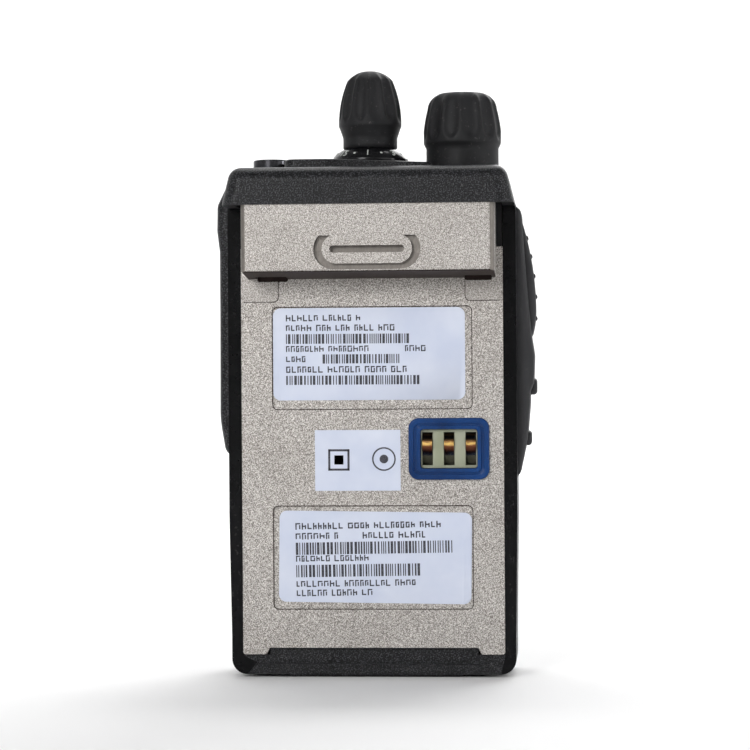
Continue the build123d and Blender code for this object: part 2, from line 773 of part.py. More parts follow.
def contact_seal():
    outer = RectangleRounded(*seal_outer, 2.0)
    inner = RectangleRounded(*seal_inner, 0.6)
    stem = RectangleRounded(seal_inner[0] + 2 * seal_stem, seal_inner[1] + 2 * seal_stem, 1.2)
    place = Pos(contact_x, contact_z)
    flange = slab(place * outer, floor, floor + seal_proud)
    flange = round_edges(flange, 0.35, lambda c: c.Y > floor + seal_proud - 0.01)
    valley = RectangleRounded(seal_outer[0] - 2.0, seal_outer[1] - 2.0, 1.4)
    valley -= RectangleRounded(seal_inner[0] + 1.4, seal_inner[1] + 1.4, 1.0)
    seal = flange - slab(place * valley, floor + seal_proud - 0.3, floor + seal_proud + 1)
    seal += slab(place * stem, floor_front - 0.35, floor)
    return seal - slab(place * inner, floor_front - 1, floor + seal_proud + 1)


# ---- knobs, switches, antenna socket -------------------------------------

def flutes(x, radius, start, lean, length):
    """Upright grooves round a knob, each with a rounded lower end."""
    cutter = Cylinder(flute_radius, length, align=(Align.CENTER, Align.CENTER, Align.MIN))
    cutter += Sphere(flute_radius)
    group = Part()
    for i in range(flute_count):
        turn = Rot(0, 0, (i + 0.5) * 360 / flute_count)
        group += Pos(x, knob_y, start) * turn * Pos(radius, 0, 0) * Rot(0, -lean, 0) * cutter
    return group


def shaft_bore(x, low):
    """The knob's hole for the shaft, with the flat that the shaft drives."""
    top = deck + shaft_reach + 0.2
    hole = column(Pos(x, knob_y) * Circle(bore), low, top)
    flat = rectangle(x - 4, x + 4, knob_y + shaft_radius - shaft_flat + shaft_gap, knob_y + 4)
    return hole - column(flat, deck + bush_proud + 1.2, top + 1)


def channel_knob():
    low = deck + turn_gap + channel_dome_height
    top = deck + channel_height
    crown = ThreePointArc((0, top), (2.7, top - 0.5), (4.5, top - 1.9))
    taper = ThreePointArc((4.5, top - 1.9), (5.6, top - 5.2), (channel_radius, top - 11.0))
    rest = Polyline((channel_radius, top - 11.0), (channel_stem, top - 13.4), (channel_stem, low), (0, low), (0, top))
    body = turned(crown + taper + rest, channel_x, knob_y)
    body -= flutes(channel_x, channel_radius + 0.72, top - 9.2, 8.0, 12.0)
    return body - shaft_bore(channel_x, low - 1)


def channel_skirt():
    """The domed ring under the channel knob that carries its position marks."""
    low = deck + turn_gap
    top = low + channel_dome_height
    dome = ThreePointArc((channel_dome, low + 0.5), (6.9, low + 1.5), (channel_stem - 0.2, top))
    rest = Polyline((channel_stem - 0.2, top), (0, top), (0, low), (channel_dome, low), (channel_dome, low + 0.5))
    ring = turned(dome + rest, channel_x, knob_y)
    return ring - column(Pos(channel_x, knob_y) * Circle(bush_radius + turn_gap), low - 1, top + 1)


def volume_knob():
    low = shoulder + turn_gap
    top = shoulder + volume_height
    edge = ThreePointArc((4.4, top), (6.0, top - 1.0), (6.9, top - 3.0))
    taper = ThreePointArc((6.9, top - 3.0), (7.35, top - 5.0), (volume_radius, top - 7.4))
    rest = Polyline((volume_radius, top - 7.4), (volume_radius, low + 5.4), (volume_collar, low + 4.5),
                    (volume_collar, low), (0, low), (0, top), (4.4, top))
    body = turned(edge + taper + rest, volume_x, knob_y)
    body -= flutes(volume_x, volume_radius + 0.72, low + 7.2, 5.5, 12.0)
    body -= column(Pos(volume_x, knob_y) * Circle(bush_radius + turn_gap), low - 1, deck + bush_proud + turn_gap)
    return body - shaft_bore(volume_x, low)


def shaft(x):
    low = roof - switch_height + 1.0
    top = deck + shaft_reach
    rod = column(Pos(x, knob_y) * Circle(shaft_radius), low, top)
    flat = rectangle(x - 4, x + 4, knob_y + shaft_radius - shaft_flat, knob_y + 4)
    return rod - column(flat, deck + bush_proud + 1.0, top + 1)


def switch(x):
    """A rotary switch or volume control: its case, and the threaded bush through the deck."""
    place = Pos(x, knob_y)
    case = column(place * RectangleRounded(switch_width, switch_depth, 1.0), roof - switch_height, roof)
    bush = column(place * Circle(bush_radius), roof, deck + bush_proud)
    pins = Part()
    for i in range(-1, 2):
        pins += column(Pos(x + i * 2.5, knob_y) * Rectangle(0.8, 0.5), roof - switch_height - 1.0, roof - switch_height)
    return case + bush + pins - column(place * Circle(bore), roof - switch_height + 0.8, deck + bush_proud + 1)


def antenna_socket():
    place = Pos(antenna_x, antenna_y)
    top = deck + antenna_proud
    socket = column(place * Circle(antenna_ring), shoulder, top)
    socket = round_edges(socket, 0.3, lambda c: c.Z > top - 0.01)
    socket += column(place * Circle(antenna_shank), top - antenna_length - 1.2, shoulder)
    socket -= column(place * Circle(antenna_bore), top - antenna_length, top + 1)
    return socket - column(place * Circle(pin_radius + 0.4), top - antenna_length - 2, top)


def antenna_contact():
    """The sprung centre pin and its insulating base."""
    low = deck + antenna_proud - antenna_length - 1.2
    base = column(Pos(antenna_x, antenna_y) * Circle(pin_base), board_top, low)
    tip = low + 1.2
    pin = column(Pos(antenna_x, antenna_y) * Circle(pin_radius), low, tip)
    return base + round_edges(pin, 0.4, lambda c: c.Z > tip - 0.01)


def top_button():
    place = Pos(button_x, button_y)
    top = deck - button_sink
    stem = column(place * Circle(button_radius), roof - 0.2, top)
    stem = round_edges(stem, 0.5, lambda c: c.Z > top - 0.01)
    return stem + column(place * Circle(button_radius + 0.7), roof - 0.9, roof - 0.2)


def led_light_pipe():
    pipe = column(Pos(led_x, led_y) * Circle(led_radius), roof - 0.6, deck)
    return round_edges(pipe, 0.3, lambda c: c.Z > deck - 0.01)


# ---- right side ----------------------------------------------------------

def ptt_bezel():
    bezel = slab(bezel_outline(), bezel_front, bezel_back)
    rim = lambda c: c.X < -bezel_seat - 0.4 and (c.Y < bezel_front + 0.01 or c.Y > bezel_back - 0.01)
    bezel = round_edges(bezel, 0.9, rim)
    frame = rectangle(bezel_front, bezel_back, bezel_low, bezel_high, 3.0)
    bezel &= beam(frame, -ptt_outer - 2, -bezel_seat)
    hole = rectangle(ptt_front - ptt_gap, ptt_back + ptt_gap, ptt_low - ptt_gap, ptt_high + ptt_gap, 2.0)
    bezel -= beam(hole, -ptt_outer - 2, -bezel_seat + 1)
    for z, tall in zip(side_button_heights, side_button_tall):
        hole = SlotOverall(side_button_length + 2 * ptt_gap, tall + 2 * ptt_gap)
        bezel -= beam(Pos((ptt_front + ptt_back) / 2, z) * hole, -ptt_outer - 2, -bezel_seat + 1)
    return bezel


def ptt_button():
    button = slab(ptt_outline(), ptt_front, ptt_back)
    sides = rectangle(ptt_front, ptt_back, ptt_low, ptt_high, 1.75)
    button &= beam(sides, -ptt_outer - 2, -ptt_inner)
    outer = lambda c: c.X < -upper_half and (c.Y < ptt_front + 0.01 or c.Y > ptt_back - 0.01)
    button = round_edges(button, 0.8, outer)
    middle = (ptt_front + ptt_back) / 2
    for part in rib_places:
        z = ptt_low + part * (ptt_high - ptt_low)
        bar = Pos(-ptt_line(z) + 0.2, middle, z) * Rot(90, 0, 0) * Cylinder(rib_radius, 4.6)
        button += bar
    return button


def side_button(z, proud, tall):
    outer = upper_half + proud
    middle = (ptt_front + ptt_back) / 2
    button = beam(Pos(middle, z) * SlotOverall(side_button_length, tall), -outer, -side_button_inner)
    return round_edges(button, 0.7, lambda c: c.X < -outer + 0.01)


def side_switch_board():
    """Board against the inside of the wall, with a dome switch behind each side button."""
    middle = (ptt_front + ptt_back) / 2
    sheet = rectangle(ptt_front - 1.0, ptt_back + 1.0, side_button_heights[1] - 4, ptt_high + 0.5, 0.6)
    board = beam(sheet, -inner_half, -inner_half + side_board_thick)
    for z in (*side_button_heights, (ptt_low + ptt_high) / 2):
        board += beam(Pos(middle, z) * Circle(1.3), -inner_half - side_dome, -inner_half)
    return board


# ---- left side -----------------------------------------------------------

def accessory_contacts():
    """Contact plate flush under the cover, with two columns of round pads."""
    seat = grip_outer - cover_thick
    middle = (cover_front + cover_back) / 2
    plate = beam(accessory_field(), seat - 0.6, seat - 0.2)
    for i in range(pad_rows):
        for column_y in (-1.5, 1.5):
            z = cover_low + 3.0 + 0.6 + (i + 0.5) * pad_pitch
            plate += beam(Pos(middle + column_y, z) * Circle(0.9), seat - 0.2, seat - 0.05)
    return plate


def accessory_cover():
    seat = grip_outer - cover_thick
    sheet = rectangle(cover_front, cover_back, cover_low, cover_high, 2.0)
    cover = beam(sheet, seat, grip_outer)
    cover = round_edges(cover, 0.6, lambda c: c.X > grip_outer - 0.01)
    middle = (cover_front + cover_back) / 2
    place = Pos(middle, accessory_screw_z)
    cover -= beam(place * Circle(accessory_shank + shaft_gap), seat - 1, grip_outer + 1)
    cover -= beam(place * Circle(accessory_head + 0.2), grip_outer - 0.6, grip_outer + 1)
    for i in range(3):
        cover -= beam(Pos(middle, cover_low + 6 + 5 * i) * SlotOverall(6.0, 1.0), grip_outer - 0.35, grip_outer + 1)
    return cover


def accessory_screw():
    base = grip_outer - 0.6
    place = Pos((cover_front + cover_back) / 2, accessory_screw_z)
    head = beam(place * Circle(accessory_head), base, base + accessory_head_height)
    head = round_edges(head, 0.35, lambda c: c.X > base + accessory_head_height - 0.01)
    head -= beam(place * Rectangle(3.6, 0.7), base + accessory_head_height - 0.5, base + 3)
    return head + beam(place * Circle(accessory_shank), grip_outer - cover_thick - accessory_reach, base)


# ---- write every piece ---------------------------------------------------

pieces = {
    "front_housing": front_housing(),
    "speaker_felt": disc(felt_radius, inner_front, speaker_front),
    "speaker_frame": speaker_frame(),
    "speaker_cone": speaker_cone(),
    "speaker_magnet": speaker_magnet(),
    "speaker_bracket": speaker_bracket(),
    "microphone": microphone(),
    "microphone_boot": microphone_boot(),
    "display_window": display_window(),
    "display_module": display_module(),
    "keypad_membrane": keypad_membrane(),
    "keypad_board": keypad_board(),
    "keypad_domes": keypad_domes(),
    "main_seal": main_seal(),
    "chassis": chassis(),
    "main_board": main_board(),
    "shield_cans": shield_cans(),
    "board_screws": board_screws(),
    "ribbon_cable": ribbon_cable(),
    "contact_block": contact_block(),
    "battery_contacts": battery_contacts(),
    "contact_seal": contact_seal(),
    "label_upper": label(upper_label, floor - label_sink, 1.5),
    "label_middle": label(middle_label, floor, 0.0),
    "label_lower": label(lower_label, floor - label_sink, 1.5, lower_label_turn),
    "channel_switch": switch(channel_x),
    "channel_shaft": shaft(channel_x),
    "channel_knob": channel_knob(),
    "channel_skirt": channel_skirt(),
    "volume_switch": switch(volume_x),
    "volume_shaft": shaft(volume_x),
    "volume_knob": volume_knob(),
    "antenna_socket": antenna_socket(),
    "antenna_contact": antenna_contact(),
    "top_button": top_button(),
    "led_light_pipe": led_light_pipe(),
    "ptt_bezel": ptt_bezel(),
    "ptt_button": ptt_button(),
    "side_button_upper": side_button(side_button_heights[0], side_button_proud[0], side_button_tall[0]),
    "side_button_lower": side_button(side_button_heights[1], side_button_proud[1], side_button_tall[1]),
    "side_switch_board": side_switch_board(),
    "accessory_contacts": accessory_contacts(),
    "accessory_cover": accessory_cover(),
    "accessory_screw": accessory_screw(),
}
for name, x, z in key_places():
    pieces[name] = key(x, z, key_width, key_height, key_corner)
for name, x, z in function_places():
    pieces[name] = key(x, z, function_width, function_height, 1.4)

for name, shape in pieces.items():
    export_step(shape, f"parts/{name}.step")
print(len(pieces), "pieces written")
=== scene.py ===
import bpy, bmesh, json, math, random
from mathutils import Matrix, Vector


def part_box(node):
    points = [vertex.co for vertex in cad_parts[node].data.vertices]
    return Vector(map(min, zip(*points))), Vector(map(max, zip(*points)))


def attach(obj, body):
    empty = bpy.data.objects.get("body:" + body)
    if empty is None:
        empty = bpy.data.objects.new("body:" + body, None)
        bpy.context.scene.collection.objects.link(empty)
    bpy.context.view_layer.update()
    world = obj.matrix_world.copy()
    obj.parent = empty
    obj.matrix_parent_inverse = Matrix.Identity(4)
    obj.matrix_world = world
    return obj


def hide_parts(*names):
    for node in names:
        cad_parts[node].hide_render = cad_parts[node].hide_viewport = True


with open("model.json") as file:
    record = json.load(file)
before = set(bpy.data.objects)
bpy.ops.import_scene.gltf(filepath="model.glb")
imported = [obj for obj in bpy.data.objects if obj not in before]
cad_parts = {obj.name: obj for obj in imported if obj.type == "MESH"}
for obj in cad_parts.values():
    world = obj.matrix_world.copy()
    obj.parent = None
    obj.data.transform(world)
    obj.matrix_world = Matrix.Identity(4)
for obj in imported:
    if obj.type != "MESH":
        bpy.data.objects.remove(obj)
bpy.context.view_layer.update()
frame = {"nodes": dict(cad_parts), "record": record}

record = frame["record"]
mm = 0.001
nodeBody = {node: body for body, nodes in record["behaviour"]["bodies"].items() for node in nodes}
nodeSlot = {entry["node"]: entry["material_slot"] for entry in record["subparts"]}
keyNodes = [node for node in nodeSlot if node.startswith(("key_", "function_key"))]


def shadeByAngle(mesh, degrees):
    mesh.polygons.foreach_set("use_smooth", [True] * len(mesh.polygons))
    mesh.set_sharp_from_angle(angle=math.radians(degrees))


def makePiece(name, bm, material, node, degrees=35, recalc=True):
    # a finished piece that rides with a CAD node and takes its material slot
    if recalc:
        bmesh.ops.recalc_face_normals(bm, faces=bm.faces)
    mesh = bpy.data.meshes.new(name)
    bm.to_mesh(mesh)
    bm.free()
    piece = bpy.data.objects.new(name, mesh)
    bpy.context.scene.collection.objects.link(piece)
    shadeByAngle(mesh, degrees)
    mesh.materials.append(material)
    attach(piece, nodeBody[node])
    return piece


edgeBreak = {
    "angle": 33,  # degrees, sharper edges are broken
    "segments": 2,
    "flat": 0.02,  # degrees, faces flatter than this are joined
}


def softenedCopy(node, material, width):
    # the CAD piece with its doubles merged and its sharp edges broken
    bm = bmesh.new()
    bm.from_mesh(frame["nodes"][node].data)
    bmesh.ops.remove_doubles(bm, verts=bm.verts, dist=1e-6)
    flat = math.radians(edgeBreak["flat"])
    bmesh.ops.dissolve_limit(bm, angle_limit=flat, verts=bm.verts, edges=bm.edges)
    piece = makePiece(node + "_finished", bm, material, node, edgeBreak["angle"], recalc=False)
    if width:
        bevel = piece.modifiers.new("brokenEdges", "BEVEL")
        bevel.width = width * mm
        bevel.segments = edgeBreak["segments"]
        bevel.limit_method = "ANGLE"
        bevel.angle_limit = math.radians(edgeBreak["angle"])
        bevel.miter_outer = "MITER_ARC"
        # flat faces keep flat normals beside the rounded ones
        weighted = piece.modifiers.new("flatFaces", "WEIGHTED_NORMAL")
        weighted.keep_sharp = True
        weighted.weight = 80
    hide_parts(node)


def addBox(bm, centre, size, turn=None):
    # centre and size in mm
    place = Matrix.Translation(Vector(centre) * mm)
    if turn:
        place = place @ turn
    stretch = Matrix.Diagonal((*[s * mm for s in size], 1.0))
    bmesh.ops.create_cube(bm, size=1.0, matrix=place @ stretch)


def spinProfile(bm, points, steps, axis=(0, 0, 1), closed=False, merge=1e-7):
    # a full turn of the points about the axis, with its seam and poles merged
    verts = [bm.verts.new(point) for point in points]
    pairs = list(zip(verts, verts[1:]))
    if closed:
        pairs.append((verts[-1], verts[0]))
    edges = [bm.edges.new(pair) for pair in pairs]
    bmesh.ops.spin(bm, geom=verts + edges, cent=(0, 0, 0), axis=axis, angle=math.tau, steps=steps,
                   use_merge=True)
    bmesh.ops.remove_doubles(bm, verts=bm.verts, dist=merge)


def nearTurn(angle):
    # the same turn taken the short way round
    return (angle + math.pi) % math.tau - math.pi


def curvePoints(start, middle, end, count):
    # points on the arc through three points, ends included
    (x1, y1), (x2, y2), (x3, y3) = start, middle, end
    d = 2 * (x1 * (y2 - y3) + x2 * (y3 - y1) + x3 * (y1 - y2))
    s1, s2, s3 = x1 * x1 + y1 * y1, x2 * x2 + y2 * y2, x3 * x3 + y3 * y3
    cx = (s1 * (y2 - y3) + s2 * (y3 - y1) + s3 * (y1 - y2)) / d
    cy = (s1 * (x3 - x2) + s2 * (x1 - x3) + s3 * (x2 - x1)) / d
    a1, a2, a3 = (math.atan2(y - cy, x - cx) for x, y in (start, middle, end))
    a2 = a1 + nearTurn(a2 - a1)
    a3 = a2 + nearTurn(a3 - a2)
    radius = math.hypot(x1 - cx, y1 - cy)
    turns = [a1 + (a3 - a1) * i / (count - 1) for i in range(count)]
    return [(cx + radius * math.cos(turn), cy + radius * math.sin(turn)) for turn in turns]


def straightPoints(start, end, count):
    # points on the way to the end, without the start
    (x0, y0), (x1, y1) = start, end
    return [(x0 + (x1 - x0) * i / count, y0 + (y1 - y0) * i / count) for i in range(1, count + 1)]


def newGroup(name, inputs, outputs):
    group = bpy.data.node_groups.new(name, "ShaderNodeTree")
    for label, value in inputs.items():
        socket = group.interface.new_socket(label, in_out="INPUT", socket_type="NodeSocketFloat")
        socket.default_value = value
    for label in outputs:
        group.interface.new_socket(label, in_out="OUTPUT", socket_type="NodeSocketFloat")
    return group


class Nodes:
    # places nodes in one tree and links them by name
    def __init__(self, tree):
        self.tree = tree

    def add(self, kind, links=None, **values):
        node = self.tree.nodes.new(kind)
        for key, value in values.items():
            setattr(node, key, value)
        for socket, source in (links or {}).items():
            self.link(source, node.inputs[socket])
        return node

    def link(self, source, target):
        if isinstance(source, bpy.types.NodeSocket):
            self.tree.links.new(source, target)
        else:
            target.default_value = source

    def ramp(self, source, stops):
        node = self.add("ShaderNodeValToRGB", {"Fac": source})
        elements = node.color_ramp.elements
        while len(elements) < len(stops):
            elements.new(0.5)
        for element, (position, shade) in zip(elements, stops):
            element.position = position
            colour = shade if isinstance(shade, tuple) else (shade, shade, shade)
            element.color = (*colour, 1.0)
        return node.outputs["Color"]

    def mix(self, fac, a, b, blend="MIX"):
        node = self.add("ShaderNodeMix", data_type="RGBA", blend_type=blend)
        self.link(fac, node.inputs[0])
        self.link(a, node.inputs[6])
        self.link(b, node.inputs[7])
        return node.outputs[2]

    def math(self, operation, a, b=0.0):
        node = self.add("ShaderNodeMath", operation=operation)
        self.link(a, node.inputs[0])
        self.link(b, node.inputs[1])
        return node.outputs[0]

    def scaled(self, source, factor, offset):
        return self.math("ADD", self.math("MULTIPLY", source, factor), offset)

    def position(self):
        return self.add("ShaderNodeTexCoord").outputs["Object"]

    def noise(self, scale, detail, roughness, vector):
        node = self.add("ShaderNodeTexNoise", {"Scale": scale, "Detail": detail, "Roughness": roughness})
        self.link(vector, node.inputs["Vector"])
        return node.outputs["Fac"]


def mouldedGrainGroup():
    # spark-eroded mould grain: fine pits over a soft unevenness, with a faint wipe of dust, and random grains
    # set apart to be painted paler as a highlight
    group = newGroup("mouldedGrain", {"Grain": 4200.0, "Dust": 0.3}, ("Height", "Wear", "Dust", "PaintedSparkle"))
    n = Nodes(group)
    given = n.add("NodeGroupInput")
    position = n.position()
    fine = n.noise(given.outputs["Grain"], 3.0, 0.6, position)
    broad = n.noise(260.0, 3.0, 0.5, position)
    streak = n.add("ShaderNodeMapping", {"Vector": position, "Scale": (1.0, 1.0, 0.35)})
    patches = n.noise(90.0, 4.0, 0.6, streak.outputs["Vector"])
    wear = n.ramp(patches, [(0.35, 0.0), (0.7, 1.0)])
    lint = n.ramp(n.noise(1500.0, 2.0, 0.5, position), [(0.64, 0.0), (0.74, 1.0)])
    paintedGlintNoise = n.noise(given.outputs["Grain"], 1.0, 0.5, position)
    made = {
        "Height": n.math("ADD", fine, n.math("MULTIPLY", broad, 0.35)),
        "Wear": wear,
        "Dust": n.math("MULTIPLY", n.math("MULTIPLY", lint, wear), given.outputs["Dust"]),
        "PaintedSparkle": n.ramp(paintedGlintNoise, [(0.5, 0.0), (0.66, 1.0)]),
    }
    n.add("NodeGroupOutput", made)
    return group


def blastedMetalGroup():
    # shot blasting: overlapping dents in the bump, and a speckle of random tone in the colour whose pale
    # grains are painted glints, as if the dents caught light one by one
    group = newGroup("blastedMetal", {"Grain": 2300.0, "Contrast": 0.5}, ("Height", "Speckle", "Stain"))
    n = Nodes(group)
    given = n.add("NodeGroupInput")
    grain = given.outputs["Grain"]
    position = n.position()
    dents = n.add("ShaderNodeTexVoronoi", {"Vector": position, "Scale": grain}, feature="F1")
    fine = n.noise(n.math("MULTIPLY", grain, 1.1), 2.0, 0.6, position)
    coarse = n.noise(n.math("MULTIPLY", grain, 0.45), 2.0, 0.5, position)
    spread = n.math("ADD", n.math("MULTIPLY", fine, 0.75), n.math("MULTIPLY", coarse, 0.25))
    centred = n.math("MULTIPLY", n.math("SUBTRACT", spread, 0.5), 5.0)
    made = {
        "Height": n.math("ADD", n.math("MULTIPLY", dents.outputs["Distance"], 0.5), fine),
        "Speckle": n.scaled(centred, given.outputs["Contrast"], 0.5),
        "Stain": n.ramp(n.noise(60.0, 4.0, 0.6, position), [(0.3, 0.0), (0.75, 1.0)]),
    }
    n.add("NodeGroupOutput", made)
    return group


grainGroup = mouldedGrainGroup()
metalGroup = blastedMetalGroup()


def startMaterial(name, **values):
    material = bpy.data.materials.new(name)
    material.use_nodes = True
    shader = material.node_tree.nodes["Principled BSDF"]
    for label, value in values.items():
        shader.inputs[label.replace("_", " ")].default_value = value
    return material, Nodes(material.node_tree), shader


def bumped(n, shader, height, strength, distance):
    values = {"Height": height, "Strength": strength, "Distance": distance * mm}
    n.link(n.add("ShaderNodeBump", values).outputs["Normal"], shader.inputs["Normal"])


# moulded plastics, rubbers and papers: the deep and the rubbed colour, the roughness of each, grains per
# metre, their depth in mm, the bump's strength, the share of dust and of grains painted paler as a highlight
mouldedLooks = {
    "housing_plastic": {"name": "housingPlastic", "dark": (0.004, 0.004, 0.0046),
                        "pale": (0.007, 0.007, 0.0082), "roughness": (0.34, 0.42), "grain": 3800.0,
                        "depth": 0.045, "strength": 0.9, "dust": 0.12, "paintedGlint": 0.26, "specular": 0.2},
    "smooth_wall": {"name": "smoothWall", "dark": (0.002, 0.002, 0.0024), "pale": (0.004, 0.004, 0.0046),
                    "roughness": (0.16, 0.24), "grain": 2400.0, "depth": 0.02, "strength": 0.4, "dust": 0.08,
                    "specular": 0.12},
    "grip_rubber": {"name": "gripRubber", "dark": (0.027, 0.027, 0.029), "pale": (0.045, 0.045, 0.048),
                    "roughness": (0.5, 0.66), "grain": 5200.0, "dust": 0.1},
    "cover_plastic": {"name": "coverPlastic", "dark": (0.009, 0.009, 0.0105), "pale": (0.016, 0.016, 0.018),
                      "roughness": (0.3, 0.45), "grain": 5200.0, "depth": 0.008, "specular": 0.18},
    "knob_rubber": {"name": "knobRubber", "dark": (0.008, 0.008, 0.0088), "pale": (0.014, 0.014, 0.0155),
                    "roughness": (0.48, 0.62), "grain": 5000.0, "dust": 0.2},
    "skirt_plastic": {"name": "skirtPlastic", "dark": (0.005, 0.005, 0.006), "pale": (0.009, 0.009, 0.01),
                      "roughness": (0.12, 0.25), "grain": 5200.0, "depth": 0.004, "strength": 0.3,
                      "dust": 0.1},
    "blue_seal": {"name": "blueSilicone", "dark": (0.0015, 0.024, 0.105), "pale": (0.003, 0.052, 0.215),
                  "roughness": (0.28, 0.4), "grain": 3000.0, "depth": 0.008, "strength": 0.3, "dust": 0.1,
                  "extra": {"Subsurface_Weight": 0.05}},
    "ivory_plastic": {"name": "ivoryPlastic", "dark": (0.3, 0.32, 0.22), "pale": (0.47, 0.47, 0.39),
                      "roughness": (0.35, 0.5), "grain": 3000.0, "depth": 0.01, "strength": 0.3, "dust": 0.2},
    "ribbon_film": {"name": "ribbonFilm", "dark": (0.3, 0.12, 0.02), "pale": (0.42, 0.19, 0.04),
                    "roughness": (0.25, 0.35), "grain": 1500.0, "depth": 0.01, "strength": 0.2, "dust": 0.0},
    "cone_paper": {"name": "conePaper", "dark": (0.03, 0.028, 0.025), "pale": (0.05, 0.046, 0.04),
                   "roughness": (0.7, 0.85), "grain": 2600.0, "depth": 0.03},
    "display_panel": {"name": "displayPanel", "dark": (0.16, 0.19, 0.13), "pale": (0.2, 0.235, 0.165),
                      "roughness": (0.25, 0.35), "grain": 2000.0, "depth": 0.004, "strength": 0.2,
                      "dust": 0.0},
    "key_plastic": {"name": "keyPlastic", "dark": (0.035, 0.035, 0.038), "pale": (0.05, 0.05, 0.054),
                    "roughness": (0.38, 0.5), "grain": 5200.0, "depth": 0.01},
    "button_orange": {"name": "buttonOrange", "dark": (0.55, 0.1, 0.012), "pale": (0.68, 0.15, 0.02),
                      "roughness": (0.35, 0.5), "grain": 4200.0, "depth": 0.01},
    "led_lens": {"name": "ledLens", "dark": (0.25, 0.03, 0.02), "pale": (0.33, 0.06, 0.04),
                 "roughness": (0.15, 0.25), "grain": 3000.0, "depth": 0.004, "strength": 0.2, "dust": 0.0,
                 "extra": {"Coat_Weight": 0.8}},
    "pale_print": {"name": "palePrint", "dark": (0.42, 0.45, 0.42), "pale": (0.55, 0.57, 0.54),
                   "roughness": (0.45, 0.6), "grain": 6000.0, "depth": 0.004, "strength": 0.3},
}
usualLook = {"depth": 0.012, "strength": 0.5, "dust": 0.3, "paintedGlint": 0.0, "specular": 0.22, "extra": {}}
lintColour = (0.33, 0.32, 0.3, 1)
# the colour painted onto random grains as a highlight
paintedGlintColour = (0.2, 0.205, 0.22, 1)


def mouldedMaterial(given):
    look = {**usualLook, **given}
    material, n, shader = startMaterial(look["name"], Specular_IOR_Level=look["specular"], **look["extra"])
    group = n.add("ShaderNodeGroup", node_tree=grainGroup)
    group.inputs["Grain"].default_value = look["grain"]
    group.inputs["Dust"].default_value = look["dust"]
    shade = n.mix(group.outputs["Wear"], (*look["dark"], 1), (*look["pale"], 1))
    shade = n.mix(group.outputs["Dust"], shade, lintColour)
    if look["paintedGlint"]:
        # painted highlight: random grains are painted paler, as if they faced the light
        shade = n.mix(n.math("MULTIPLY", group.outputs["PaintedSparkle"], look["paintedGlint"]), shade, paintedGlintColour)
    n.link(shade, shader.inputs["Base Color"])
    low, high = look["roughness"]
    n.link(n.scaled(group.outputs["Wear"], high - low, low), shader.inputs["Roughness"])
    bumped(n, shader, group.outputs["Height"], look["strength"], look["depth"])
    return material


# cast floor and block: the speckle's deep, middle and bright colours, the bright one a painted glint, and the
# stain laid over them
castLook = {"dark": (0.15, 0.137, 0.126), "middle": (0.36, 0.333, 0.31), "glintBright": (0.8, 0.775, 0.74),
            "stain": (0.42, 0.385, 0.35), "stained": 0.25, "grain": 7400.0, "contrast": 0.85}


def castMetal():
    material, n, shader = startMaterial("castMetal", Metallic=0.6)
    group = n.add("ShaderNodeGroup", node_tree=metalGroup)
    group.inputs["Grain"].default_value = castLook["grain"]
    group.inputs["Contrast"].default_value = castLook["contrast"]
    speckle = group.outputs["Speckle"]
    # the speckle's pale end is a painted glint
    stops = [(0.1, castLook["dark"]), (0.5, castLook["middle"]), (0.95, castLook["glintBright"])]
    stained = n.math("MULTIPLY", group.outputs["Stain"], castLook["stained"])
    shade = n.mix(stained, n.ramp(speckle, stops), (*castLook["stain"], 1), "MULTIPLY")
    n.link(shade, shader.inputs["Base Color"])
    n.link(n.scaled(speckle, -0.2, 0.62), shader.inputs["Roughness"])
    bumped(n, shader, group.outputs["Height"], 0.6, 0.035)
    return material


# the leaf's colour from its lower end to its upper, painted as a bowed leaf's highlights and reflections: a
# grey highlight, a dark red-brown reflection, a gold highlight where it bows out, and dark above
leafLook = {"low": 0.0412, "high": 0.0484, "wander": 0.0012,
            "paintedReflections": [(0.0, (0.2, 0.19, 0.19)), (0.3, (0.42, 0.4, 0.39)), (0.4, (0.1, 0.032, 0.022)),
                      (0.56, (0.19, 0.07, 0.035)), (0.63, (0.95, 0.62, 0.2)), (0.68, (0.34, 0.18, 0.07)),
                      (0.84, (0.1, 0.06, 0.04)), (1.0, (0.08, 0.07, 0.07))]}


def leafMetal():
    material, n, shader = startMaterial("contactGold", Metallic=1.0)
    position = n.position()
    height = n.add("ShaderNodeSeparateXYZ", {"Vector": position}).outputs["Z"]
    uneven = n.math("SUBTRACT", n.noise(700.0, 2.0, 0.5, position), 0.5)
    height = n.math("ADD", height, n.math("MULTIPLY", uneven, leafLook["wander"]))
    reach = {"Value": height, "From Min": leafLook["low"], "From Max": leafLook["high"]}
    along = n.add("ShaderNodeMapRange", reach).outputs["Result"]
    # painted highlights and reflections laid along the leaf's height
    n.link(n.ramp(along, leafLook["paintedReflections"]), shader.inputs["Base Color"])
    scratches = n.noise(2600.0, 3.0, 0.6, position)
    n.link(n.scaled(scratches, 0.2, 0.1), shader.inputs["Roughness"])
    bumped(n, shader, scratches, 0.2, 0.008)
    return material


metalLooks = {
    # a smooth milled metal darker than the cast one, used as painted shade on the groove's floor and the
    # block's rounded side edges
    "milled_painted_shade": {"name": "milledPaintedShade", "colour": (0.24, 0.22, 0.2), "roughness": 0.52, "brushed": 0.7,
                     "grain": 2600.0},
    # painted shade: this dark metal colours the groove walls, the block's underside, its catch pockets and
    # the lines round the recesses
    "painted_shade_metal": {"name": "paintedShadeMetal", "colour": (0.05, 0.036, 0.033), "roughness": 0.55, "brushed": 0.0,
                     "grain": 2600.0},
    "black_metal": {"name": "blackNickel", "colour": (0.05, 0.05, 0.055), "roughness": 0.2, "brushed": 0.0,
                    "grain": 900.0},
    "steel": {"name": "platedSteel", "colour": (0.55, 0.55, 0.54), "roughness": 0.3, "brushed": 0.8,
              "grain": 900.0},
    "magnet_metal": {"name": "magnetNickel", "colour": (0.3, 0.3, 0.31), "roughness": 0.3, "brushed": 0.0,
                     "grain": 900.0},
}


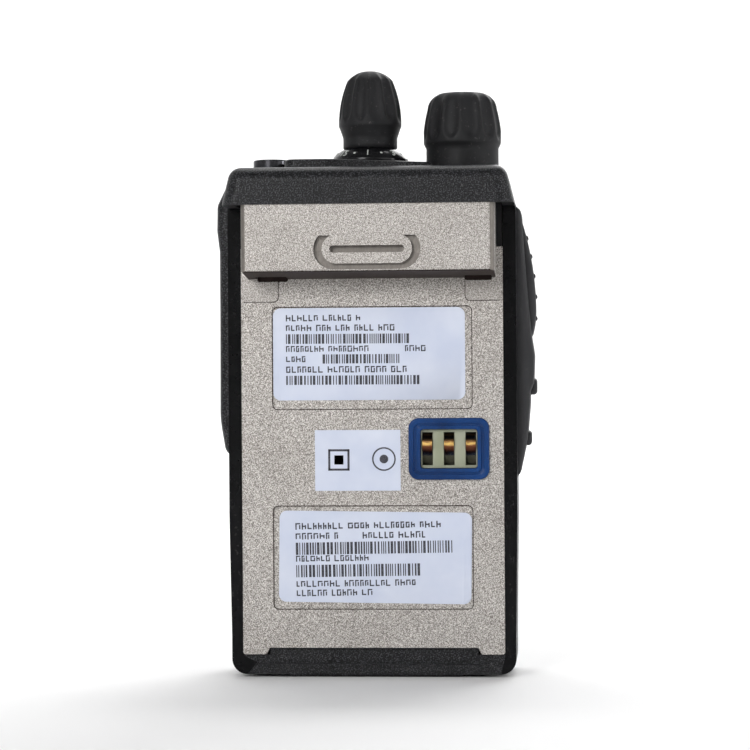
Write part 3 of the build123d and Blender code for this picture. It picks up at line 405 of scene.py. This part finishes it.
def plainMetal(look):
    material, n, shader = startMaterial(look["name"], Metallic=1.0)
    lengthwise = (1.0, 1.0, 1.0 - look["brushed"])
    stretch = n.add("ShaderNodeMapping", {"Vector": n.position(), "Scale": lengthwise})
    spots = n.noise(look["grain"], 3.0, 0.6, stretch.outputs["Vector"])
    dull = tuple(c * 0.72 for c in look["colour"])
    n.link(n.ramp(spots, [(0.3, dull), (0.65, look["colour"])]), shader.inputs["Base Color"])
    n.link(n.scaled(spots, 0.2, look["roughness"] - 0.1), shader.inputs["Roughness"])
    bumped(n, shader, spots, 0.2, 0.01)
    return material


def labelPaper():
    material, n, shader = startMaterial("labelPaper", Coat_Weight=0.25, Coat_Roughness=0.25)
    position = n.position()
    tone = n.noise(120.0, 3.0, 0.5, position)
    n.link(n.ramp(tone, [(0.3, (0.55, 0.6, 0.74)), (0.7, (0.65, 0.69, 0.8))]), shader.inputs["Base Color"])
    fibre = n.noise(2600.0, 3.0, 0.6, position)
    n.link(n.scaled(fibre, 0.2, 0.38), shader.inputs["Roughness"])
    swell = n.math("ADD", n.math("MULTIPLY", fibre, 0.15), n.noise(160.0, 2.0, 0.5, position))
    bumped(n, shader, swell, 0.25, 0.06)
    return material


def printInk():
    material, n, shader = startMaterial("printInk")
    patchy = n.noise(5200.0, 2.0, 0.6, n.position())
    stops = [(0.35, (0.012, 0.012, 0.02)), (0.72, (0.07, 0.07, 0.09))]
    n.link(n.ramp(patchy, stops), shader.inputs["Base Color"])
    n.link(n.scaled(patchy, 0.2, 0.4), shader.inputs["Roughness"])
    bumped(n, shader, patchy, 0.2, 0.004)
    return material


def windowGlass():
    material, n, shader = startMaterial("windowGlass", Transmission_Weight=0.85, IOR=1.49)
    smear = n.noise(140.0, 4.0, 0.6, n.position())
    n.link(n.ramp(smear, [(0.3, (0.5, 0.54, 0.53)), (0.7, (0.62, 0.66, 0.64))]), shader.inputs["Base Color"])
    n.link(n.scaled(smear, 0.08, 0.04), shader.inputs["Roughness"])
    return material


def boardGreen():
    material, n, shader = startMaterial("boardGreen", Coat_Weight=0.6, Coat_Roughness=0.15)
    position = n.position()
    tracks = n.add("ShaderNodeTexBrick", {"Vector": position, "Scale": 260.0}).outputs["Fac"]
    weave = n.noise(2400.0, 2.0, 0.5, position)
    shade = n.mix(tracks, (0.012, 0.1, 0.04, 1), (0.03, 0.2, 0.08, 1))
    shade = n.mix(n.math("MULTIPLY", weave, 0.4), shade, (0.01, 0.06, 0.03, 1))
    n.link(shade, shader.inputs["Base Color"])
    n.link(n.scaled(weave, 0.2, 0.3), shader.inputs["Roughness"])
    bumped(n, shader, tracks, 0.4, 0.03)
    return material


def speakerCloth():
    material, n, shader = startMaterial("speakerCloth", Roughness=0.95)
    upright = (math.radians(90), 0.0, 0.0)
    turned = n.add("ShaderNodeMapping", {"Vector": n.position(), "Rotation": upright}).outputs["Vector"]
    threads = {"Vector": turned, "Scale": 900.0}
    across = n.add("ShaderNodeTexWave", threads, bands_direction="X")
    along = n.add("ShaderNodeTexWave", threads, bands_direction="Y")
    weave = n.math("MULTIPLY", across.outputs["Fac"], along.outputs["Fac"])
    stops = [(0.1, (0.006, 0.006, 0.006)), (0.8, (0.035, 0.035, 0.036))]
    n.link(n.ramp(weave, stops), shader.inputs["Base Color"])
    bumped(n, shader, weave, 0.8, 0.08)
    return material


def makeMaterials():
    print("materials")
    made = {slot: mouldedMaterial(look) for slot, look in mouldedLooks.items()}
    made.update({slot: plainMetal(look) for slot, look in metalLooks.items()})
    made["cast_metal"] = castMetal()
    made["contact_gold"] = leafMetal()
    made["label_paper"] = labelPaper()
    made["print_ink"] = printInk()
    made["circuit_board"] = boardGreen()
    made["speaker_cloth"] = speakerCloth()
    made["window_glass"] = windowGlass()
    return made


materials = makeMaterials()


# how widely each CAD piece's edges are broken, in mm; the pieces inside stay as they are
edgeWidths = {
    "front_housing": 0.18, "chassis": 0.14, "ptt_bezel": 0.2, "ptt_button": 0.12, "side_button_upper": 0.1,
    "side_button_lower": 0.1, "accessory_cover": 0.12, "accessory_screw": 0.08, "contact_seal": 0.12,
    "contact_block": 0.08, "battery_contacts": 0.0, "antenna_socket": 0.08, "top_button": 0.06,
    "display_window": 0.05, "label_upper": 0.0, "label_middle": 0.0, "label_lower": 0.0,
}
keyEdge = 0.06
modelledHere = ("channel_knob", "volume_knob", "channel_skirt")


def dressNodes():
    print("cad pieces")
    for node in nodeSlot:
        material = materials[nodeSlot[node]]
        if node in edgeWidths:
            softenedCopy(node, material, edgeWidths[node])
        elif node in keyNodes:
            softenedCopy(node, material, keyEdge)
        elif node not in modelledHere:
            mesh = frame["nodes"][node].data
            mesh.materials.clear()
            mesh.materials.append(material)


dressNodes()


# where a second finish or a painted shade starts and ends, in mm
finishAndShadePlaces = {
    "rimInner": 24.0, "rimOuter": 27.75, "rimRear": 28.3, "rimTop": 92.0, "rimFront": -1.0,
    "grooveHalf": 10.6, "grooveLow": 79.3, "grooveHigh": 86.2, "grooveDeep": 1.6, "grooveLip": 0.02,
    "underLow": 77.4, "underHigh": 80.0, "underFront": 3.3,
    "catches": ((16.3, 22.5), (-23.7, -18.2)), "catchLow": 77.5, "catchHigh": 79.6, "catchBack": 7.9,
    "edgeInner": 22.0, "edgeLow": 79.0, "edgeHigh": 92.4, "edgeDeep": 3.0,
}


def addFinishOrShade(node, finish, test):
    # a second finish or a painted shade on the faces that pass the test, which gets each face's middle in mm
    # and its normal
    mesh = bpy.data.objects[node + "_finished"].data
    mesh.materials.append(materials[finish])
    for polygon in mesh.polygons:
        if test(polygon.center / mm, polygon.normal):
            polygon.material_index = len(mesh.materials) - 1


def addFinishesAndShades():
    at = finishAndShadePlaces
    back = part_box("chassis")[1].y / mm

    def onRim(c, n):
        outer = at["rimRear"] if n.y > 0.3 else at["rimOuter"]
        return at["rimInner"] < abs(c.x) < outer and c.z < at["rimTop"] and c.y > at["rimFront"]

    def inGroove(c):
        within = abs(c.x) < at["grooveHalf"] and at["grooveLow"] < c.z < at["grooveHigh"]
        return within and back - at["grooveDeep"] < c.y < back - at["grooveLip"]

    def underBlock(c, n):
        return at["underLow"] < c.z < at["underHigh"] and c.y > at["underFront"] and n.z < -0.5

    def inCatch(c, n):
        across = any(low < c.x < high for low, high in at["catches"])
        return across and at["catchLow"] < c.z < at["catchHigh"] and c.y < at["catchBack"]

    def blockEdge(c, n):
        outside = abs(c.x) > at["edgeInner"] and c.y > back - at["edgeDeep"]
        return outside and abs(n.x) > 0.3 and at["edgeLow"] < c.z < at["edgeHigh"]

    addFinishOrShade("front_housing", "smooth_wall", onRim)
    # painted shade: the groove's floor and walls, the block's underside, its catch pockets and its rounded
    # side edges are coloured darker than the cast metal
    addFinishOrShade("chassis", "milled_painted_shade", lambda c, n: inGroove(c) and n.y > 0.9)
    addFinishOrShade("chassis", "painted_shade_metal", lambda c, n: inGroove(c) and n.y <= 0.9)
    addFinishOrShade("chassis", "painted_shade_metal", underBlock)
    addFinishOrShade("chassis", "painted_shade_metal", inCatch)
    addFinishOrShade("chassis", "milled_painted_shade", blockEdge)


addFinishesAndShades()


def flutedKnob(node, profile, fluteLow, look):
    # a turned profile whose side is pressed in by rounded flutes
    bm = bmesh.new()
    points = [Vector((r * mm, 0.0, z * mm)) for r, z in profile]
    spinProfile(bm, points, look["flutes"] * 16)
    low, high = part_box(node)
    fluteTop = high.z / mm - look["fluteTop"]
    width = look["fluteWidth"]
    for v in bm.verts:
        radius = math.hypot(v.co.x, v.co.y)
        if radius < 1e-6:
            continue
        turn = (math.atan2(v.co.y, v.co.x) / math.tau * look["flutes"]) % 1.0 - 0.5
        height = v.co.z / mm
        # the flute's lower end is round, and it fades out over the crown
        start = fluteLow + look["fluteRound"] * (abs(turn) / width) ** 2
        rise = min(max((height - start) / look["fluteRise"], 0.0), 1.0)
        fade = min(max((fluteTop - height) / look["fade"], 0.0), 1.0)
        dip = max(0.0, 1.0 - (turn / width) ** 2) ** 0.75 * math.sin(rise * math.pi / 2) * fade ** 0.5
        cut = look["fluteDepth"] * mm * dip * min(1.0, radius / (2.5 * mm))
        v.co.x *= (radius - cut) / radius
        v.co.y *= (radius - cut) / radius
    centre = (low + high) / 2
    bmesh.ops.translate(bm, verts=bm.verts, vec=(centre.x, centre.y, 0.0))
    piece = makePiece(node + "_finished", bm, materials["knob_rubber"], node, 50)
    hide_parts(node)


# each knob: points of radius and drop from its top, or height above its foot, in mm
channelKnob = {
    "crown": ((0.0, 0.0), (2.7, 0.5), (4.5, 1.9)), "side": ((4.5, 1.9), (5.6, 5.2), (6.25, 10.9)),
    "waist": ((6.22, 11.15), (6.05, 11.45), (5.5, 13.1), (5.41, 13.4)),
    "stem": ((5.4, 0.25), (5.2, 0.06), (5.0, 0.0), (3.1, 0.0)),
    "flutes": 12, "fluteWidth": 0.4, "fluteDepth": 0.6, "fluteDrop": 10.4, "fluteTop": 0.4, "fade": 3.2,
    "fluteRound": 1.3, "fluteRise": 1.6,
}
volumeKnob = {
    "face": ((0.0, 0.12), (3.4, 0.05), (4.4, 0.0)), "edge": ((4.4, 0.0), (6.0, 0.95), (6.9, 3.0)),
    "side": ((6.9, 3.0), (7.35, 5.0), (7.7, 7.4)),
    "collar": ((7.68, 5.6), (7.63, 5.3), (7.2, 4.4), (7.2, 0.3), (7.1, 0.08), (6.9, 0.0), (4.4, 0.0)),
    "flutes": 12, "fluteWidth": 0.4, "fluteDepth": 0.62, "fluteStart": 5.9, "fluteTop": 0.1, "fade": 2.2,
    "fluteRound": 1.3, "fluteRise": 1.6,
}


def dropped(points, top):
    return [(r, top - drop) for r, drop in points]


def raised(points, bottom):
    return [(r, bottom + height) for r, height in points]


def makeKnobs():
    print("knobs")
    low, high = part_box("channel_knob")
    top, bottom = high.z / mm, low.z / mm
    ring, brim, neck, join = dropped(channelKnob["waist"], top)
    stem = raised(channelKnob["stem"], bottom)
    profile = curvePoints(*dropped(channelKnob["crown"], top), 12)
    profile += curvePoints(*dropped(channelKnob["side"], top), 26)[1:]
    profile += [ring, brim] + straightPoints(brim, neck, 4)
    profile += [join] + straightPoints(join, stem[0], 3) + stem[1:]
    flutedKnob("channel_knob", profile, top - channelKnob["fluteDrop"], channelKnob)
    low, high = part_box("volume_knob")
    top, bottom = high.z / mm, low.z / mm
    middle, inner, outer = dropped(volumeKnob["face"], top)
    side = dropped(volumeKnob["side"], top)
    lip, brim, neck, foot, *end = raised(volumeKnob["collar"], bottom)
    profile = [middle] + straightPoints(middle, inner, 5) + [outer]
    profile += curvePoints(*dropped(volumeKnob["edge"], top), 14)[1:]
    profile += curvePoints(*side, 14)[1:]
    profile += straightPoints(side[-1], lip, 5) + [brim]
    profile += straightPoints(brim, neck, 3) + straightPoints(neck, foot, 5) + end
    flutedKnob("volume_knob", profile, bottom + volumeKnob["fluteStart"], volumeKnob)


makeKnobs()


def textPiece(words, size, place, depth=0.03):
    # generic digits only, turned into a mesh at its place
    curve = bpy.data.curves.new("digits", "FONT")
    curve.body = words
    curve.size = size * mm
    curve.extrude = depth / 2 * mm
    curve.align_x = "CENTER"
    curve.align_y = "CENTER"
    curve.resolution_u = 3
    holder = bpy.data.objects.new("digits", curve)
    bpy.context.scene.collection.objects.link(holder)
    bpy.context.view_layer.update()
    mesh = bpy.data.meshes.new_from_object(holder)
    bpy.data.objects.remove(holder)
    bm = bmesh.new()
    bm.from_mesh(mesh)
    bmesh.ops.transform(bm, matrix=place, verts=bm.verts)
    return bm


def joinInto(target, source):
    mesh = bpy.data.meshes.new("joining")
    source.to_mesh(mesh)
    source.free()
    target.from_mesh(mesh)
    bpy.data.meshes.remove(mesh)


# the marked ring under the channel knob
markedRing = {"bore": 4.32, "crown": 5.2, "shoulder": (6.9, 1.5), "foot": 0.5, "marks": 16, "markAt": 9,
              "digit": 2.1, "digitDepth": 0.08, "dot": 0.27, "dotLift": 0.03}


def makeMarkedRing():
    print("marked ring")
    low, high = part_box("channel_skirt")
    centre = (low + high) / 2
    radius = (high.x - low.x) / 2 / mm
    top, bottom = high.z / mm, low.z / mm
    bore, (shoulder, rise) = markedRing["bore"], markedRing["shoulder"]
    foot = (radius, bottom + markedRing["foot"])
    dome = curvePoints(foot, (shoulder, bottom + rise), (markedRing["crown"], top), 25)
    profile = [(bore, bottom + 0.05), (radius - 0.15, bottom), (radius - 0.03, bottom + 0.1), foot]
    profile += dome[1:] + [(bore, top)]
    bm = bmesh.new()
    spinProfile(bm, [(r * mm, 0.0, z * mm) for r, z in profile], 96, closed=True)
    bmesh.ops.translate(bm, verts=bm.verts, vec=(centre.x, centre.y, 0.0))
    ring = makePiece("channel_skirt_finished", bm, materials["skirt_plastic"], "channel_skirt", 40)
    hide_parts("channel_skirt")
    marks = bmesh.new()
    (r0, z0), (r1, z1), (r2, z2) = dome[markedRing["markAt"] - 1:markedRing["markAt"] + 2]
    slope = math.atan2(z2 - z0, r0 - r2)
    count = markedRing["marks"]
    for i in range(count):
        # local X runs round the dome, Y up its slope and Z out of it
        place = Matrix.Translation((centre.x, centre.y, 0.0)) @ Matrix.Rotation(i * math.tau / count, 4, "Z")
        place = place @ Matrix.Translation((0.0, r1 * mm, z1 * mm))
        place = place @ Matrix.Rotation(math.pi, 4, "Z") @ Matrix.Rotation(slope, 4, "X")
        if i % 2:
            lifted = place @ Matrix.Translation((0, 0, markedRing["dotLift"] * mm))
            dot = markedRing["dot"] * mm
            bmesh.ops.create_circle(marks, cap_ends=True, segments=14, radius=dot, matrix=lifted)
        else:
            digit = textPiece(str(i + 1), markedRing["digit"], place, markedRing["digitDepth"])
            joinInto(marks, digit)
    makePiece("channel_marks", marks, materials["pale_print"], "channel_skirt", 30)


makeMarkedRing()


# printed rows: kind, left, right, height above the label's middle and size, in mm as read from behind
upperRows = [
    ("text", -16.3, -1.5, 7.1, 1.25), ("text", -16.3, 5.2, 5.15, 1.25), ("bars", -16.3, 7.8, 3.0, 1.9),
    ("text", -16.3, 0.2, 1.05, 1.2), ("text", 7.1, 11.0, 1.05, 1.2), ("text", -16.3, -11.2, -0.95, 1.2),
    ("bars", -9.1, 6.3, -0.95, 1.8), ("text", -16.3, 7.6, -3.0, 1.25), ("bars", -16.3, 9.9, -5.1, 1.8),
]
lowerRows = [
    ("text", -15.6, 13.6, 6.3, 1.3), ("text", -15.6, -6.6, 4.35, 1.3), ("text", -2.4, 10.3, 4.35, 1.3),
    ("bars", -15.6, 15.1, 1.9, 2.4), ("text", -15.6, -1.5, -0.05, 1.2), ("bars", -15.6, 8.6, -2.5, 2.4),
    ("text", -15.6, 8.5, -5.0, 1.25), ("text", -15.6, -1.1, -6.8, 1.25),
]
labelPrints = {
    "label_upper": {"rows": upperRows, "seed": 11, "turn": 0.0},
    "label_lower": {"rows": lowerRows, "seed": 23, "turn": 0.8},
}
middleMarks = {"ringAt": (5.15, 0.25), "ring": (2.33, 2.03), "dot": 0.42, "squareAt": (3.7, 0.1),
               "squares": ((2.1, 0.42), (0.9, 0.9))}
inkThick = 0.014
inkLift = 0.004


def printBar(bm, x, z, width, height):
    addBox(bm, (x, 0.0, z), (width, inkThick, height))


def strokeRow(bm, rng, left, right, z, height):
    # pretend letters: small blocks with a notch, grouped as words, that spell nothing
    x = left
    word = rng.randint(3, 9)
    while x < right - 0.5:
        if word == 0:
            x += height * 0.55
            word = rng.randint(3, 9)
            continue
        width = height * rng.uniform(0.5, 0.78)
        stroke = height * 0.2
        kind = rng.randint(0, 3)
        upright = height * rng.choice((1.0, 1.0, 0.86))
        middle, arm = x + width / 2 + stroke * 0.2, width - stroke * 0.6
        printBar(bm, -(x + stroke / 2), z, stroke, upright)
        if kind in (0, 2):
            printBar(bm, -middle, z + upright * 0.4, arm, stroke)
        if kind in (1, 2):
            printBar(bm, -middle, z - upright * 0.4, arm, stroke)
        if kind != 1:
            printBar(bm, -(x + width - stroke / 2), z - upright * 0.12, stroke, upright * 0.62)
        if kind == 3:
            printBar(bm, -(x + width / 2), z, width - stroke, stroke)
        x += width + height * 0.2
        word -= 1


def barRow(bm, rng, left, right, z, height):
    x = left
    while x < right:
        width = rng.choice((0.2, 0.2, 0.32, 0.5))
        printBar(bm, -(x + width / 2), z, width, height)
        x += width + rng.choice((0.2, 0.2, 0.34))


def layPrint(bm, node, turn=0.0):
    # onto the label's face
    low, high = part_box(node)
    centre = (low + high) / 2
    place = Matrix.Translation((centre.x, high.y + inkLift * mm, centre.z))
    place = place @ Matrix.Rotation(math.radians(turn), 4, "Y")
    bmesh.ops.transform(bm, matrix=place, verts=bm.verts)
    makePiece(node + "_print", bm, materials["print_ink"], node, 30)


def printLabel(node, look):
    rng = random.Random(look["seed"])
    bm = bmesh.new()
    for kind, left, right, z, height in look["rows"]:
        maker = barRow if kind == "bars" else strokeRow
        maker(bm, rng, left, right, z, height)
    layPrint(bm, node, look["turn"])


def ringMark(bm):
    # a plain ring and a filled dot
    (x, z), (outer, inner) = middleMarks["ringAt"], middleMarks["ring"]
    half = inkThick / 2
    for r0, r1 in ((inner, outer), (0.0, inner * middleMarks["dot"])):
        section = [(r0, -half), (r1, -half), (r1, half), (r0, half)]
        part = bmesh.new()
        spinProfile(part, [(r * mm, y * mm, 0.0) for r, y in section], 48, axis=(0, 1, 0), closed=True)
        bmesh.ops.dissolve_degenerate(part, dist=1e-7, edges=part.edges)
        bmesh.ops.translate(part, verts=part.verts, vec=(-x * mm, 0.0, z * mm))
        joinInto(bm, part)


def squareMark(bm):
    # a neutral shape: two squares, one inside the other
    x, z = middleMarks["squareAt"]
    for half, stroke in middleMarks["squares"]:
        for side in (-1, 1):
            printBar(bm, x + side * (half - stroke / 2), z, stroke, 2 * half)
            printBar(bm, x, z + side * (half - stroke / 2), 2 * half, stroke)


def makePrinting():
    print("printing")
    for node, look in labelPrints.items():
        printLabel(node, look)
    bm = bmesh.new()
    ringMark(bm)
    squareMark(bm)
    layPrint(bm, "label_middle")


makePrinting()


# dark strips laid as painted shadow lines on the cast floor, in mm: round each label recess, and at each low
# pad beside the block
floorShadowLines = {"width": 0.15, "thick": 0.02, "lift": 0.256, "half": 19.6, "corner": 1.0,
              "recesses": ((52.5, 72.6), (13.35, 33.6)), "padInner": 18.33, "padOuter": 25.2,
              "padLow": 73.63, "padHigh": 77.9, "padCorner": 0.9}


def roundedPath(half, bottom, top, reach):
    path = []
    right, left, high, low = half - reach, reach - half, top - reach, bottom + reach
    for quarter, (x, z) in enumerate(((right, high), (left, high), (left, low), (right, low))):
        for step in range(5):
            turn = (quarter + step / 4) * math.pi / 2
            path.append((x + reach * math.cos(turn), z + reach * math.sin(turn)))
    return path + path[:1]


def padPath(side):
    inner, low, reach = floorShadowLines["padInner"], floorShadowLines["padLow"], floorShadowLines["padCorner"]
    turns = [i * math.pi / 8 for i in range(5)]
    corner = [(inner + reach - reach * math.sin(t), low + reach - reach * math.cos(t)) for t in turns]
    path = [(floorShadowLines["padOuter"], low)] + corner + [(inner, floorShadowLines["padHigh"])]
    return [(side * x, z) for x, z in path]


def makeShadowLines():
    print("recess lines")
    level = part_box("label_upper")[0].y / mm + floorShadowLines["lift"]
    half, corner = floorShadowLines["half"], floorShadowLines["corner"]
    paths = [roundedPath(half, bottom, top, corner) for bottom, top in floorShadowLines["recesses"]]
    paths += [padPath(-1), padPath(1)]
    bm = bmesh.new()
    for path in paths:
        for (x0, z0), (x1, z1) in zip(path, path[1:]):
            turn = Matrix.Rotation(-math.atan2(z1 - z0, x1 - x0), 4, "Y")
            size = (math.hypot(x1 - x0, z1 - z0) + 0.05, floorShadowLines["thick"], floorShadowLines["width"])
            addBox(bm, ((x0 + x1) / 2, level, (z0 + z1) / 2), size, turn)
    makePiece("recess_shadow_lines", bm, materials["painted_shade_metal"], "chassis", 30)


makeShadowLines()


keyLegends = {"digit": 3.2, "lift": 0.01, "barThick": 0.03, "barHeight": 0.5, "barShort": 1.1, "barStep": 0.5,
              "signs": {"star": "*", "hash": "#"}}


def makeLegends():
    print("key legends")
    for node in keyNodes:
        low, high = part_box(node)
        centre = (low + high) / 2
        word = node.split("_")[-1]
        if node.startswith("function_key"):
            bm = bmesh.new()
            width = keyLegends["barShort"] + keyLegends["barStep"] * int(word)
            size = (width, keyLegends["barThick"], keyLegends["barHeight"])
            addBox(bm, (centre.x / mm, low.y / mm - keyLegends["lift"], centre.z / mm), size)
        else:
            place = Matrix.Translation((centre.x, low.y - keyLegends["lift"] * mm, centre.z))
            place = place @ Matrix.Rotation(math.radians(90), 4, "X")
            bm = textPiece(keyLegends["signs"].get(word, word), keyLegends["digit"], place)
        makePiece(node + "_legend", bm, materials["pale_print"], node, 30)


makeLegends()


# a pale floor that curves up all round, in metres
bowl = {"flat": 1.2, "bend": (1.7657, 0.2343), "side": (2.0, 0.8), "top": 2.2, "colour": (0.9, 0.9, 0.9, 1),
        "worldStrength": 0.2}


def makeStage():
    print("stage")
    flat = (bowl["flat"], 0.0)
    profile = [(0.0, 0.0), flat] + curvePoints(flat, bowl["bend"], bowl["side"], 12)[1:]
    profile.append((bowl["side"][0], bowl["top"]))
    bm = bmesh.new()
    spinProfile(bm, [(r, 0.0, z) for r, z in profile], 64, merge=1e-6)
    mesh = bpy.data.meshes.new("floor")
    bm.to_mesh(mesh)
    bm.free()
    shadeByAngle(mesh, 60)
    floor = bpy.data.objects.new("floor", mesh)
    bpy.context.scene.collection.objects.link(floor)
    mesh.materials.append(startMaterial("paleFloor", Roughness=0.9, Base_Color=bowl["colour"])[0])
    world = bpy.data.worlds.new("studio")
    world.use_nodes = True
    background = world.node_tree.nodes["Background"]
    background.inputs["Color"].default_value = (1.0, 1.0, 1.0, 1)
    background.inputs["Strength"].default_value = bowl["worldStrength"]
    bpy.context.scene.world = world


# each light's place, size in metres and power in watts, and the point it looks at
studioLights = {
    "key": {"place": (0.42, 1.05, 0.45), "size": 0.4, "power": 5.5, "target": (0.0, 0.0, 0.06)},
    "fill": {"place": (-0.9, 0.7, 0.4), "size": 0.5, "power": 1.0, "target": (0.0, 0.0, 0.06)},
    "front": {"place": (-0.3, -1.0, 0.7), "size": 0.7, "power": 6.0, "target": (0.0, 0.0, 0.06)},
    "wash": {"place": (0.0, -0.8, 1.7), "size": 1.2, "power": 28.0, "target": (0.0, -2.1, 0.3)},
    "edge": {"place": (-0.8, 0.2, 0.2), "size": 0.12, "power": 0.7, "target": (0.0, 0.0, 0.06)},
}


def aimed(place, target):
    return (Vector(target) - Vector(place)).to_track_quat("-Z", "Y")


def addLight(name, look):
    light = bpy.data.lights.new(name, "AREA")
    light.size = look["size"]
    light.energy = look["power"]
    holder = bpy.data.objects.new(name, light)
    bpy.context.scene.collection.objects.link(holder)
    holder.location = look["place"]
    holder.rotation_mode = "QUATERNION"
    holder.rotation_quaternion = aimed(look["place"], look["target"])


# distance in metres, aside and roll in degrees, target in mm
cameraLook = {"distance": 0.5, "aside": 4.3, "lens": 122.6, "target": (-0.6, 4.25, 59.2), "roll": -0.38}


def makeCamera():
    print("camera")
    camera = bpy.data.cameras.new("camera")
    camera.lens = cameraLook["lens"]
    camera.sensor_width = 36.0
    camera.clip_start = 0.01
    camera.clip_end = 20.0
    holder = bpy.data.objects.new("camera", camera)
    bpy.context.scene.collection.objects.link(holder)
    aside = math.radians(cameraLook["aside"])
    target = Vector(cameraLook["target"]) * mm
    holder.location = target + cameraLook["distance"] * Vector((-math.sin(aside), math.cos(aside), 0.0))
    holder.rotation_mode = "QUATERNION"
    roll = Matrix.Rotation(math.radians(cameraLook["roll"]), 4, "Z").to_quaternion()
    holder.rotation_quaternion = aimed(holder.location, target) @ roll
    bpy.context.scene.camera = holder


makeStage()
for name, look in studioLights.items():
    addLight(name, look)
makeCamera()
bpy.context.scene.view_settings.view_transform = "Standard"
